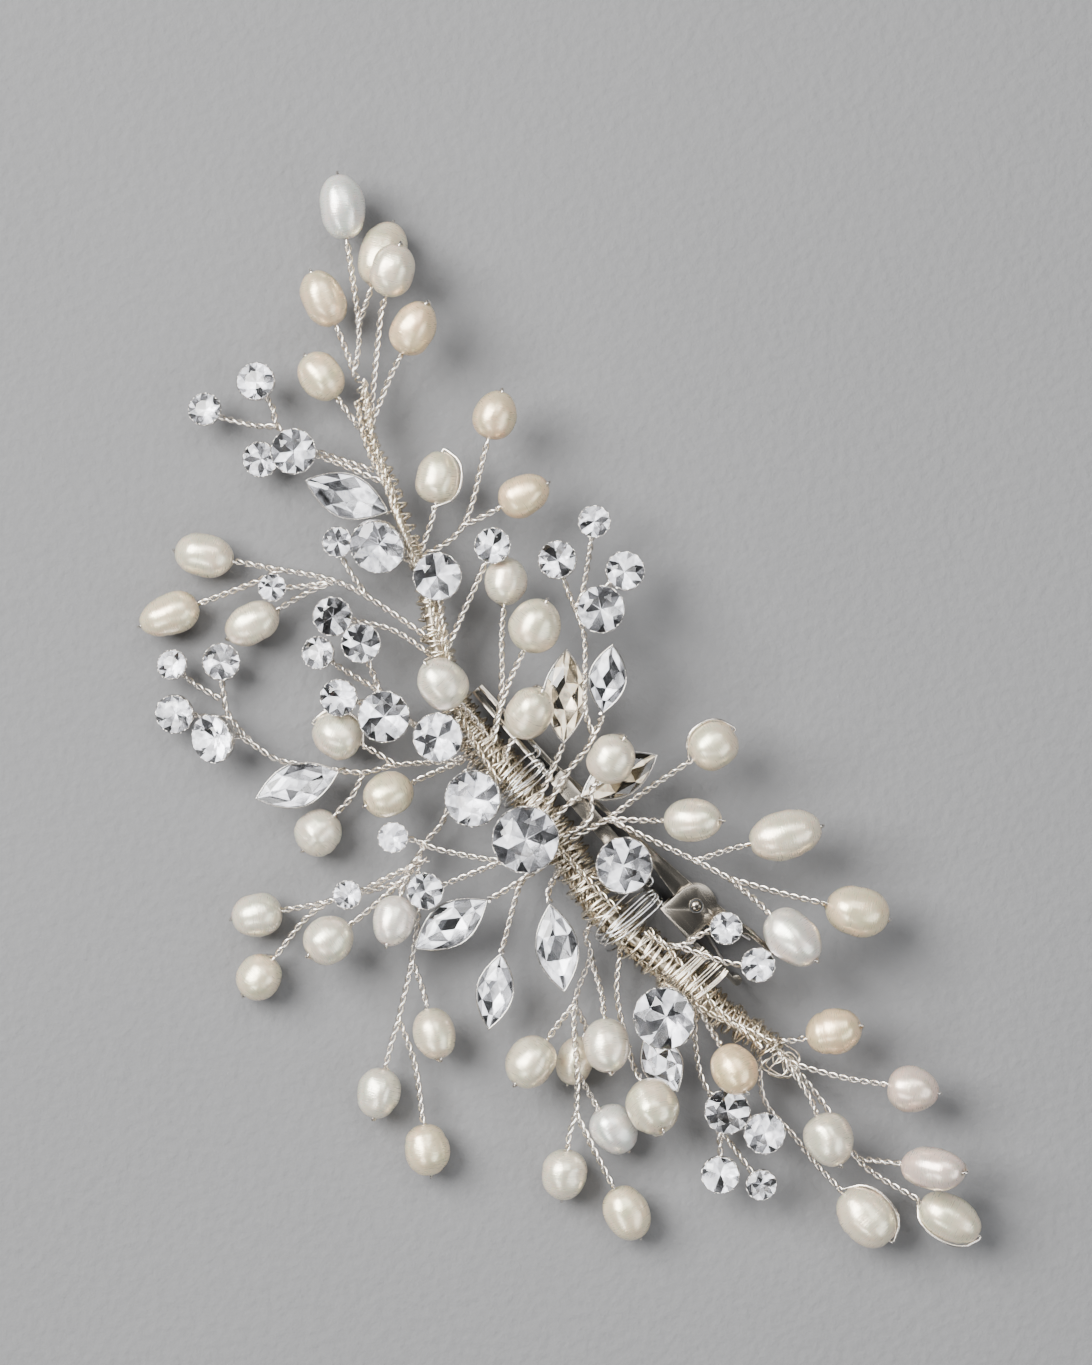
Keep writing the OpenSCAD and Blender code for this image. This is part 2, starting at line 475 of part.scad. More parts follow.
module binding(x) {
    bundle_y = lookup(x, [for (p = spine_path) [along(p.x), at(p).y]]);
    bundle_r = u * spine_d / 2 + max(twist_d, 2.1 * wire_d);
    inner = bar_y + sheet_t / 2 + lash_d / 2 + 0.02;
    low = step_in - lash_d / 2 - 0.02;
    high = clip_w - low;
    far = bundle_y - bundle_r;
    top = spine_h + bundle_r;
    under = spine_h - bundle_r;
    outer = bar_y - sheet_t / 2 - lash_d / 2;
    near = bundle_y + bundle_r * 0.6;
    loop = [[inner, low], [inner, high], [outer, high], [near, spine_h + bundle_r * 0.85], [bundle_y, top],
        [far + 0.8, top - 1], [far, spine_h], [far + 0.8, under + 1], [bundle_y, under],
        [near, spine_h - bundle_r * 0.85], [outer, low]];
    sides = len(loop);
    n = lash_turns * sides;
    path = [for (i = [0 : n]) [x - (i / n - 0.5) * lash_band, loop[i % sides].x, loop[i % sides].y]];
    last_x = x - lash_band / 2 - 0.15;
    color(wire_colour) tube(concat(path, [[last_x, inner, high], [last_x - 0.9, inner + 0.1, high + 1]]), lash_d);
}

module clip_binding_front() { binding(front_lash_x); }
module clip_binding_rear() { binding(rear_lash_x); }

// Bundle

module spine_core() {
    color(wire_colour) union()
    for (i = [0 : len(spine_path) - 2]) hull() {
        for (p = [spine_path[i], spine_path[i + 1]])
            translate(at(p)) sphere(d = u * p[3] * spine_d / 4, $fn = 12);
    }
}

// Fine wire wound along the bundle
module spine_wrap() {
    last = len(spine_path) - 1;
    per_turn = 8;
    turns = 3;
    wind = [for (i = [0 : last - 1], k = [0 : turns * per_turn - 1])
        let (t = k / (turns * per_turn), p = spine_path[i] * (1 - t) + spine_path[i + 1] * t,
            dir = unit(at(spine_path[i + 1]) - at(spine_path[i])), side = unit(cross(dir, [0, 0, 1])),
            r = u * p[3] * spine_d / 8 + wire_d / 2, a = k * 360 / per_turn)
        at(p) + r * (side * cos(a) + [0, 0, 1] * sin(a))];
    color(wire_colour) tube(wind, wire_d, sides = 4);
}

// Sprigs

module tip_stems() { stems(tip_p); }
module tip_pearls() { pearls(tip_p); }
module left_fan_stems() { stems([], left_fan_c, left_fan_n); }
module left_fan_crystals() { crystals(left_fan_c, left_fan_n); }
module left_fan_settings() { settings(left_fan_c, left_fan_n); }
module right_fan_stems() { stems(right_fan_p, right_fan_c); }
module right_fan_pearls() { pearls(right_fan_p); }
module right_fan_crystals() { crystals(right_fan_c); }
module right_fan_settings() { settings(right_fan_c); }
module left_drop_stems() { stems(left_drop_p, left_drop_c); }
module left_drop_pearls() { pearls(left_drop_p); }
module left_drop_crystals() { crystals(left_drop_c); }
module left_drop_settings() { settings(left_drop_c); }
module left_row_stems() { stems([], left_row_c, [], left_row_s); }
module left_row_crystals() { crystals(left_row_c); }
module left_row_settings() { settings(left_row_c); }
module curl_stems() { stems(curl_p, curl_c, curl_n); }
module curl_pearls() { pearls(curl_p); }
module curl_crystals() { crystals(curl_c, curl_n); }
module curl_settings() { settings(curl_c, curl_n); }
module heart_stems() { stems(heart_p, heart_c); }
module heart_pearls() { pearls(heart_p); }
module heart_crystals() { crystals(heart_c); }
module heart_settings() { settings(heart_c); }
module crest_stems() { stems([], crest_c, crest_n, crest_s); }
module crest_crystals() { crystals(crest_c, crest_n); }
module crest_settings() { settings(crest_c, crest_n); }
module wing_stems() { stems(wing_p, wing_c, wing_n, wing_s); }
module wing_pearls() { pearls(wing_p); }
module wing_crystals() { crystals(wing_c, wing_n); }
module wing_settings() { settings(wing_c, wing_n); }
module focal_stems() { stems([], focal_c); }
module focal_crystals() { crystals(focal_c); }
module focal_settings() { settings(focal_c); }
module low_spray_stems() { stems(low_spray_p, low_spray_c, [], low_spray_s); }
module low_spray_pearls() { pearls(low_spray_p); }
module low_spray_crystals() { crystals(low_spray_c); }
module low_spray_settings() { settings(low_spray_c); }
module leaf_stems() { stems([], [], leaf_n); }
module leaf_crystals() { crystals([], leaf_n); }
module leaf_settings() { settings([], leaf_n); }
module low_bunch_stems() { stems(low_bunch_p, [], [], low_bunch_s); }
module low_bunch_pearls() { pearls(low_bunch_p); }
module side_stems() { stems(side_p, side_c, side_n); }
module side_pearls() { pearls(side_p); }
module side_crystals() { crystals(side_c, side_n); }
module side_settings() { settings(side_c, side_n); }
module tail_stems() { stems(tail_p); }
module tail_pearls() { pearls(tail_p); }

clip_base();
clip_lever();
pivot_pin();
torsion_spring();
spring_lever_leg();
clip_binding_front();
clip_binding_rear();
spine_core();
spine_wrap();
tip_stems();
tip_pearls();
left_fan_stems();
left_fan_crystals();
left_fan_settings();
right_fan_stems();
right_fan_pearls();
right_fan_crystals();
right_fan_settings();
left_drop_stems();
left_drop_pearls();
left_drop_crystals();
left_drop_settings();
left_row_stems();
left_row_crystals();
left_row_settings();
curl_stems();
curl_pearls();
curl_crystals();
curl_settings();
heart_stems();
heart_pearls();
heart_crystals();
heart_settings();
crest_stems();
crest_crystals();
crest_settings();
wing_stems();
wing_pearls();
wing_crystals();
wing_settings();
focal_stems();
focal_crystals();
focal_settings();
low_spray_stems();
low_spray_pearls();
low_spray_crystals();
low_spray_settings();
leaf_stems();
leaf_crystals();
leaf_settings();
low_bunch_stems();
low_bunch_pearls();
side_stems();
side_pearls();
side_crystals();
side_settings();
tail_stems();
tail_pearls();
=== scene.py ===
import math
import random

import bmesh
import bpy
from mathutils import Matrix, Vector, noise


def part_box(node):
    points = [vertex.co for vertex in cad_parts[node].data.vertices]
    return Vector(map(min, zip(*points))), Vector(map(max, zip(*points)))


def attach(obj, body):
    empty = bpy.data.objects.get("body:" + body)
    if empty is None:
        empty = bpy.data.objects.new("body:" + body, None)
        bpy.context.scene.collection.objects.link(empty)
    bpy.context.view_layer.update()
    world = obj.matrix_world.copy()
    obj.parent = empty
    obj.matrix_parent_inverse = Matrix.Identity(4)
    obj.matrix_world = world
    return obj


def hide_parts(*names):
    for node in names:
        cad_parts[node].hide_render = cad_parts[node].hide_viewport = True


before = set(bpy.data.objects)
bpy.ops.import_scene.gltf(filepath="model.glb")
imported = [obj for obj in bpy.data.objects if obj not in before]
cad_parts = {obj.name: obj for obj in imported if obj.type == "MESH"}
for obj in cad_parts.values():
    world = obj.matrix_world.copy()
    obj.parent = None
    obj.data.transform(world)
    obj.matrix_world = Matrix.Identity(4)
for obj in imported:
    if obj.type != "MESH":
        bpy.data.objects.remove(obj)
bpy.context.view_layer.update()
mm = 0.001
sprayBody = "clip_and_spray"
bundleZ = sum(corner.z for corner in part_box("spine_core")) / 2

# The spray's places in millimetres, the same as the part's own:
# a pearl is (middle, width, length, wire route to its join), a round crystal (middle, diameter, lean, route),
# a navette (free tip, wired tip, width, route) and a stalk a bare twisted wire.
spray = {
    "tip": {
        "pearls": [
            ((-74, 24, 0), 5.2, 7.6, [(-62.5, 16.5, 0), (-59, 13, 0)]),
            ((-67, 24, -1.5), 5.4, 7.8, [(-62.5, 16.5, 0)]),
            ((-64.5, 23.5, 3.4), 5, 6.2, [(-61.5, 19, 2), (-55, 12, 0), (-53, 10, 0)]),
            ((-67.5, 15.5, 0.5), 4.9, 6.8, [(-62.5, 14, 0), (-58.5, 12.5, 0)]),
            ((-58, 21, 3), 4.9, 6.5, [(-55.5, 15, 1.5), (-53, 10, 0)]),
            ((-61, 9.5, 0), 4.9, 6, [(-55, 9, 0), (-51, 8.7, 0)]),
        ],
    },
    "left_fan": {
        "crystals": [
            ((-67, -3, -1), 3.6, (-0.2, 0), [(-62, 0, -1), (-60, 2, -1)]),
            ((-65.5, 3.5, 0), 4.2, (-0.2, 0), [(-62, 3, -1), (-60, 2, -1), (-56, 3, -1), (-49, 7, 0)]),
            ((-58.5, -2, -1), 3.9, (0, -0.3), [(-57, 1, -2), (-55, 3.5, -1)]),
            ((-56.5, 1.5, 2.4), 5, (0, 0), [(-54, 3.5, 0), (-47, 7, 0)]),
            ((-42, 1.5, 3.4), 6.2, (0.2, -0.5), [(-40, 3, 0), (-37.5, 3.4, 0)]),
        ],
        "navettes": [
            ((-53, 0.5, 1), (-44.5, 5, 1.2), 4.8, [(-43.5, 5.8, 0)]),
        ],
    },
    "right_fan": {
        "pearls": [
            ((-44.5, 21.5, 3), 4.9, 5.7, [(-37.5, 10.5, 1.5), (-38, 4.2, 0)]),
            ((-43.5, 12, 1), 5.1, 6.1, [(-40.5, 8.5, 0.8), (-38.5, 5, 0)]),
            ((-35.5, 18, 3), 4.7, 6.1, [(-37, 12, 2), (-37.5, 10.5, 1.5)]),
        ],
        "crystals": [
            ((-35, 4.5, 4), 5.3, (0, 0), [(-31.5, 2, 1.5), (-30, 0, 0.5)]),
        ],
    },
    "left_drop": {
        "pearls": [
            ((-54.5, -14, -2), 5, 6.9, [(-47.5, -8.5, -1), (-43, -5, -0.5), (-38.5, -3, 0),
             (-29.5, -0.6, 0)]),
            ((-52, -21.5, -2), 4.8, 7.2, [(-48.5, -12, -2), (-47.5, -8.5, -1)]),
            ((-45, -15, -1.5), 4.7, 6.6, [(-43.5, -8, -1), (-42.5, -5, -0.5)]),
        ],
        "crystals": [
            ((-46.5, -10.5, 0.8), 3, (0, 0), [(-44.5, -8, -0.6), (-42.5, -5, -0.5)]),
            ((-45.5, -1.5, 0.8), 3.3, (0, 0), [(-43, -2.5, -0.5), (-38.5, -3, 0)]),
        ],
    },
    "left_row": {
        "crystals": [
            ((-39.5, -7.5, 0.8), 4.3, (0, 0), [(-37, -5.5, -1.2), (-33.5, -3.2, -0.9),
             (-28.5, -1.8, -0.5)]),
            ((-35, -7, 3.4), 4.3, (0, 0), [(-32.5, -8, -0.4), (-29.5, -9, -0.3)]),
            ((-37.5, -11.5, 0), 3.6, (-0.2, -0.2), [(-35, -10.8, -1.4), (-29.5, -9, -0.3)]),
            ((-32, -13, 2.6), 4.1, (0, -0.2), [(-30, -11.5, -0.9), (-29.5, -9, -0.3)]),
            ((-27, -10.5, 3.4), 5.7, (0, 0), [(-27, -9.5, 0.4), (-24, -8.5, 0.4)]),
            ((-21.2, -7.4, 5.4), 5.4, (0, 0), [(-21, -6.8, 2.4), (-19.5, -6.2, 0.3)]),
        ],
        "stalks": [
            [(-29.5, -9, -0.3), (-24, -8.5, 0.4), (-18, -5.4, 0.3)],
        ],
    },
    "curl": {
        "pearls": [
            ((-29, -16, -0.8), 5.4, 5.9, [(-25.2, -14.2, -1), (-22, -13.2, -1)]),
            ((-20, -16, 1.4), 5.1, 5.9, [(-18.8, -11.5, 0), (-17.6, -7.8, -0.4), (-17, -5.4, -0.4)]),
            ((-22, -25, -2), 5.3, 5.5, [(-22.6, -19.5, -2), (-23.8, -16.6, -1.4)]),
        ],
        "crystals": [
            ((-47.5, -25, -1.6), 3.3, (-0.3, 0), [(-44, -24.5, -3), (-41, -23.5, -3)]),
            ((-44, -20.5, -0.8), 4.1, (-0.1, 0.2), [(-41.5, -22.5, -2.6), (-38.5, -24, -2.6),
             (-32.5, -23.5, -1.8), (-28.5, -20.8, -1.6), (-24, -16.8, -1.4), (-22, -13.2, -1),
             (-18.2, -8, -0.6), (-17.5, -5.6, -0.4)]),
            ((-43, -28.5, -1.2), 4.3, (0, -0.3), [(-41, -26.5, -3.2), (-38.5, -24, -2.6)]),
            ((-38, -27, 1), 5.4, (-0.3, -0.6), [(-36, -24.5, -1.4), (-32.5, -23.5, -1.8)]),
        ],
        "navettes": [
            ((-29.5, -27.5, 0.6), (-25.8, -18.8, 0.2), 4.8, [(-25.4, -18, -1.4)]),
        ],
    },
    "heart": {
        "pearls": [
            ((-29.5, 10, 2.2), 4.8, 5.5, [(-25, 5.5, 3.2), (-20.5, 1.5, 3.2), (-16.5, -3.2, 1.4)]),
            ((-23.5, 9.2, 5.6), 5.7, 6.3, [(-20.5, 2.5, 3.6), (-17, -3.2, 1.4)]),
            ((-25.5, -3, 5.6), 5.5, 6.3, [(-19.5, -3, 2.6), (-17, -3.4, 1.4)]),
            ((-16.5, 2.2, 6), 5.2, 6.5, [(-15, -2.6, 3), (-14, -3.6, 1.4)]),
        ],
        "crystals": [
            ((-33.5, 11.5, 5), 3.9, (0, 0), [(-30, 4, 2.2), (-28.2, 0, 0.8)]),
        ],
    },
    "crest": {
        "crystals": [
            ((-28, 22, 4), 3.5, (0, 0), [(-23, 16, 2.6), (-22, 14, 2.6)]),
            ((-27.5, 16, 4), 4.2, (-0.2, 0), [(-24, 14.6, 2.2), (-22, 14, 2.6)]),
            ((-21.5, 21, 4), 4.3, (0, 0.2), [(-21.5, 18, 2.2), (-22, 14, 2.6)]),
            ((-20, 16, 6.6), 5.2, (0, 0), [(-21, 14.5, 3), (-22, 14, 2.6)]),
        ],
        "navettes": [
            ((-19, 10, 3.2), (-11.5, 3, 3.2), 4.8, [(-10.6, 1.4, 3.2), (-8.2, -3.8, 2)]),
            ((-16, 14.2, 7.4), (-11.2, 8.6, 7), 4, [(-10.4, 7.4, 5.8), (-9.6, 5.5, 4.6)]),
        ],
        "stalks": [
            [(-22, 14, 2.6), (-18.6, 12.4, 4.4), (-12.8, 7.4, 5), (-9.6, 5.5, 4.6), (-8.6, 1, 3.6),
             (-7, -3.9, 2)],
        ],
    },
    "wing": {
        "pearls": [
            ((-6.5, 5.8, 6.7), 5.3, 5.8, [(-5.2, 1.6, 5), (-3, -0.6, 3.6), (-3.4, -4, 2)]),
            ((0, 15.5, 3.2), 5.5, 5.8, [(-1.2, 6, 3), (-1.6, 1, 3), (-2.6, -3.6, 2)]),
            ((4.8, 8.2, 5.2), 4.9, 6.8, [(1.6, 4.4, 3.2), (-1.6, 1, 3)]),
            ((13, 15, 3.6), 5.5, 8.5, [(10, 9, 3.4), (8.5, 5.4, 3.2)]),
            ((25, 15.5, 2.2), 5.7, 7.4, [(18, 10.5, 2.8), (12.6, 7, 3.2)]),
            ((22.2, 8, 5.6), 5.5, 7.5, [(16.4, 7.6, 4.4), (12.6, 7, 3.2)]),
        ],
        "crystals": [
            ((16.5, 3, 4.8), 3.5, (0, 0), [(15.4, 0.8, 2.8), (14.4, -2.6, 2.4), (11, -4.4, 1.4)]),
            ((22, 3, 4.8), 3.7, (0, 0), [(20, 0.8, 2.6), (14.4, -2.6, 2.4)]),
        ],
        "navettes": [
            ((-3.4, 9.8, 2.6), (-5.4, 0.6, 3), 4.6, [(-5.8, -1, 3), (-5.6, -3.6, 2.2)]),
        ],
        "stalks": [
            [(-1.6, 1, 3), (3.5, 3.2, 2.9), (8.5, 5.4, 3.2), (12.6, 7, 3.2)],
        ],
    },
    "focal": {
        "crystals": [
            ((-6, -7.5, 6.3), 7.4, (0, 0), [(-5.6, -5.8, 2.2)]),
            ((-13.4, -9, 5), 6.2, (-0.1, -0.1), [(-14, -6.8, 1.8), (-14.4, -5.2, 1.4)]),
            ((3.5, -1, 6.3), 6.2, (0, 0.1), [(3, -3.4, 2.4), (2, -5, 1.6)]),
        ],
    },
    "low_spray": {
        "pearls": [
            ((-19.5, -36.5, -2), 5, 5.9, [(-15.4, -29.4, -1.4), (-11.5, -21.5, -0.8)]),
            ((-14, -41, -2), 5, 5.5, [(-15.5, -33, -1.6), (-15.4, -29.4, -1.4)]),
            ((-12, -32, 1), 5.4, 5.9, [(-11.6, -27.6, 0.4), (-11.5, -21.5, -0.8)]),
            ((-8.8, -25, 1.6), 4.8, 5.9, [(-11, -21.6, 0.4), (-12.6, -17.8, -0.8)]),
            ((4, -30, -0.4), 4.8, 6, [(-1, -27.6, -1.2), (-4, -26.5, -1.4)]),
            ((5, -39.4, -2), 5, 5.9, [(1.6, -34.5, -2), (0, -32, -1.8)]),
            ((13.5, -39.5, -2), 5.2, 6, [(5.4, -34.2, -1.8), (0, -32, -1.8)]),
        ],
        "crystals": [
            ((-16, -18.8, 1.4), 3.3, (0, 0), [(-14.4, -17.4, -0.4), (-11, -15.5, -0.6),
             (-5.4, -10.6, -0.4), (-4.4, -6, -0.4)]),
            ((-14.5, -27, 1.6), 3.1, (-0.2, 0), [(-13, -22.5, -0.4), (-11.5, -17.5, -0.6)]),
            ((-9, -20, 2.8), 4, (0, 0), [(-8, -17.6, 0.6), (-5.8, -11.4, -0.2)]),
        ],
        "stalks": [
            [(-16.6, -6, -0.6), (-15.6, -9.6, -0.8), (-13.6, -13.6, -0.8), (-12.6, -17.8, -0.8),
             (-8, -22, -1.6), (-4, -26.5, -1.4), (0, -32, -1.8)],
            [(-13, -16.5, -0.8), (-11.5, -21.5, -0.8)],
        ],
    },
    "leaf": {
        "navettes": [
            ((-4.8, -25, 1), (-3.6, -15.6, 1.4), 4.7, [(-3.2, -14, 0.6), (-2.4, -9, -0.2),
             (-2.2, -5.6, -0.4)]),
            ((7.5, -24.8, 0.6), (2.2, -18.4, 0.8), 4, [(1.2, -17, 0.4), (-2.4, -11.5, 0.2),
             (-2.4, -9, -0.2)]),
            ((9.8, -15.5, 2.4), (1.6, -10.4, 2.6), 4.6, [(0.2, -9.4, 1.8), (-1, -6.6, 1)]),
        ],
    },
    "low_bunch": {
        "pearls": [
            ((13.6, -23.8, 1), 5.5, 6.3, [(12.4, -18.6, 0.2), (12, -15.8, -0.6)]),
            ((17, -20, -2.4), 4.3, 5.7, [(15, -16.6, -2), (12, -15.8, -0.6)]),
            ((17.8, -16, 1.6), 5.2, 6.3, [(13, -12.6, 0.4), (9, -10.8, -0.8)]),
            ((26.4, -16.6, 2.2), 6, 6.6, [(21, -15, -1), (14.6, -11.6, -1.2), (11, -8, -0.8),
             (10, -6, -0.6)]),
            ((25.8, -21.8, -1.8), 5.2, 6, [(21.6, -21.4, -1.2), (18, -20.6, 0.6)]),
            ((26, -29.5, -2), 5.2, 5.9, [(22.8, -26, -1.4), (21.4, -23.8, -0.8)]),
            ((34, -27, -2), 5.2, 6.5, [(26.6, -25.2, -1.2), (21.4, -23.8, -0.8)]),
        ],
        "stalks": [
            [(5.4, -6.2, -0.4), (6.8, -9.6, -0.8), (9, -10.8, -0.8), (12, -15.8, -0.6), (18, -20.6, 0.6),
             (21.4, -23.8, -0.8)],
        ],
    },
    "side": {
        "pearls": [
            ((29.2, -6.8, 3.6), 5.1, 6, [(24, -5.8, 2.4), (19.5, -4.8, 1)]),
        ],
        "crystals": [
            ((19.5, -9, 5.8), 7, (-0.1, -0.3), [(19, -6.6, 2.2), (17.5, -5.2, 1.2)]),
            ((32.5, -10.6, 1.3), 5, (0, 0), [(31, -11, -2.2), (27.5, -10.2, -1.6), (23.5, -7.6, -0.6),
             (21, -4.8, -0.4)]),
            ((37, -9, 3.2), 4.5, (0, 0), [(34.6, -9.2, -1.8), (31, -11, -2.2)]),
            ((37.5, -16, 0.5), 4.2, (0.1, -0.2), [(33.4, -12.6, -2.2), (31, -11, -2.2)]),
            ((41.4, -13.2, 1), 3.4, (0.2, 0), [(38, -13, -1.4), (33.4, -12.6, -2.2)]),
        ],
        "navettes": [
            ((27, -13.4, -0.6), (20, -11.8, -0.2), 4.4, [(18.8, -10.6, 0.6), (17.4, -5.8, 0)]),
        ],
    },
    "tail": {
        "pearls": [
            ((33.5, 4.5, 2), 5.2, 6.5, [(31.4, 0.4, 0.8), (29.5, -1.8, 0.2)]),
            ((44.5, 7, 1), 5.2, 6, [(38, 1.6, 0), (33, -1.6, 0), (31, -2, 0)]),
            ((42.5, -4, 1.8), 5.5, 6.3, [(37, -2.4, 0.6), (31.5, -1.8, 0.2)]),
            ((52.5, 2.8, 3.6), 4.9, 7.8, [(48.6, -0.8, 0.6), (46.5, -3, -1.4)]),
            ((58.5, 0.5, -0.6), 5.1, 7.8, [(50, -2.4, -1), (46.5, -3, -1.4), (41, -2, -2.2),
             (35, -1.6, -1.2), (31, -1.8, -0.2)]),
            ((52.2, -6.6, -1), 6, 7.8, [(44, -7, -1.8), (40, -6.8, -2.2), (34.4, -6.6, -2),
             (29.4, -3, -0.6)]),
        ],
    },
}

# the bundle's middle and how thick it is there: x, y, diameter
spinePath = [
    (-58.5, 13, 0.9), (-51.5, 9, 1.1), (-48, 8, 1.3), (-43.5, 6.3, 1.5), (-38.5, 4.2, 1.8), (-33.5, 2, 2.2),
    (-28.5, -1, 2.8), (-21.5, -3.8, 3.6), (-16, -4.2, 4), (-9, -4.2, 4), (-4, -4.6, 4), (1, -5.5, 4),
    (7, -6.2, 4), (14, -5.2, 4), (18, -4.6, 3.8), (23, -4, 3.4), (28, -2.6, 3), (32, -1.8, 2.4)]


# Shader sums

class Wired:
    # one output of a node, so that sums on it read as sums
    def __init__(self, tree, socket):
        self.tree = tree
        self.socket = socket

    def maths(self, operation, first, second):
        made = self.tree.nodes.new("ShaderNodeMath")
        made.operation = operation
        for slot, value in zip(made.inputs, (first, second)):
            plug(self.tree, slot, value)
        return Wired(self.tree, made.outputs[0])

    def __add__(self, other):
        return self.maths("ADD", self, other)

    def __rsub__(self, other):
        return self.maths("SUBTRACT", other, self)

    def __mul__(self, other):
        return self.maths("MULTIPLY", self, other)

    def __pow__(self, other):
        return self.maths("POWER", self, other)

    __radd__ = __add__
    __rmul__ = __mul__


def plug(tree, slot, value):
    if isinstance(value, Wired):
        tree.links.new(value.socket, slot)
    else:
        slot.default_value = value


class Finish:
    # a material, built node by node
    def __init__(self, name):
        self.material = bpy.data.materials.new(name)
        self.material.use_nodes = True
        self.tree = self.material.node_tree
        self.shader = self.tree.nodes["Principled BSDF"]

    def node(self, kind, settings, values, output=0):
        made = self.tree.nodes.new(kind)
        for key, value in settings.items():
            if key == "stops":
                fillRamp(made.color_ramp, value)
            else:
                setattr(made, key, value)
        for key, value in values.items():
            plug(self.tree, made.inputs[key], value)
        return Wired(self.tree, made.outputs[output])

    def blendColours(self, amount, first, second):
        return self.node("ShaderNodeMix", {"data_type": "RGBA"}, {0: amount, 6: first, 7: second}, 2)

    def grain(self, scale, detail=2, stretch=(1, 1, 1), source=None):
        place = source or self.node("ShaderNodeTexCoord", {}, {}, "Object")
        stretched = self.node("ShaderNodeMapping", {}, {"Vector": place, "Scale": stretch})
        return self.node("ShaderNodeTexNoise", {}, {"Vector": stretched, "Scale": scale, "Detail": detail})

    def bump(self, height, depth, strength):
        made = self.node("ShaderNodeBump", {}, {"Height": height, "Distance": depth, "Strength": strength})
        plug(self.tree, self.shader.inputs["Normal"], made)

    def sockets(self, **values):
        for name, value in values.items():
            words = name.replace("_", " ").title().replace("Ior", "IOR")
            plug(self.tree, self.shader.inputs[words], value)


def fillRamp(ramp, stops):
    while len(ramp.elements) < len(stops):
        ramp.elements.new(1)
    for element, (place, colour) in zip(ramp.elements, stops):
        element.position = place
        element.color = colour


def grey(level):
    return (level, level, level, 1)


def makeNacre():
    look = Finish("nacre")
    tint = look.node("ShaderNodeAttribute", {"attribute_name": "tint"}, {}, "Color")
    shell = look.node("ShaderNodeAttribute", {"attribute_name": "shell"}, {}, "Vector")
    rings = look.grain(5, 4, (1, 1, 7), shell)
    cloud = look.grain(420, 2)
    bloom = look.node("ShaderNodeValToRGB", {"stops": [
        (0.32, (1.0, 0.9, 0.88, 1)), (0.5, (1, 1, 1, 1)), (0.68, (0.92, 1.0, 0.95, 1))]}, {"Fac": cloud})
    mixing = {"data_type": "RGBA", "blend_type": "MULTIPLY"}
    base = look.node("ShaderNodeMix", mixing, {0: 0.8, 6: tint, 7: bloom}, 2)
    look.sockets(base_color=base, metallic=0.42 + cloud * 0.25, roughness=0.22 + rings * 0.14)
    look.sockets(coat_weight=0.9 - rings * 0.3, coat_roughness=0.12, specular_ior_level=0.7)
    look.sockets(subsurface_weight=0.12, subsurface_scale=0.0016)
    look.shader.inputs["Thin Film Thickness"].default_value = 380
    look.shader.inputs["Thin Film IOR"].default_value = 1.34
    look.bump(rings + cloud * 0.4, 0.00006, 0.5)
    return look.material


def makeGlass(name, colour):
    look = Finish(name)
    haze = look.grain(1500, 1)
    look.sockets(base_color=look.blendColours(haze * 0.3, colour, grey(1)), roughness=haze * 0.02)
    look.sockets(transmission_weight=1, ior=1.64)
    return look.material


def makeMetal(name, light, dark, rough, scale, stretch=(1, 1, 1), depth=0):
    look = Finish(name)
    patch = look.grain(scale, 3, stretch)
    fine = look.grain(scale * 7, 2, stretch)
    base = look.blendColours(patch, dark, light)
    look.sockets(base_color=base, metallic=1, roughness=rough + patch * 0.12 + fine * 0.08)
    if depth:
        look.bump(fine + patch * 0.5, depth, 0.6)
    return look.material


def makeFoilAndPaintedGlint(name, tone):
    # the silvered back of a stone: each facet gets its own painted reflection, from near black to bright, and
    # the brightest facets glow with painted light
    look = Finish(name)
    flash = look.node("ShaderNodeAttribute", {"attribute_name": "flash"}, {}, "Fac")
    patch = look.grain(1300, 2)
    paintedLight = look.node("ShaderNodeMapRange", {}, {"Value": flash * (patch * 0.5 + 0.75)})
    # painted reflection: the facet's colour runs from near black to the tone by its painted flash
    base = look.blendColours(paintedLight, grey(0.03), tone)
    # painted glow: the brightest facets emit light of their own, standing in for reflected lamp light
    paintedGlow = look.blendColours(paintedLight ** 6, grey(0), tone)
    look.sockets(base_color=base, metallic=0.85, roughness=0.16 + patch * 0.1)
    look.sockets(emission_color=paintedGlow, emission_strength=2.2)
    return look.material


def makePaper():
    look = Finish("paper")
    fibre = look.grain(900, 5)
    cloud = look.grain(14, 2)
    shade = cloud * 0.6 + fibre * 0.4
    look.sockets(base_color=look.blendColours(shade, (0.156, 0.157, 0.161, 1), (0.2, 0.2015, 0.206, 1)))
    look.sockets(roughness=0.85, specular_ior_level=0.25)
    look.bump(fibre, 0.0004, 0.6)
    return look.material


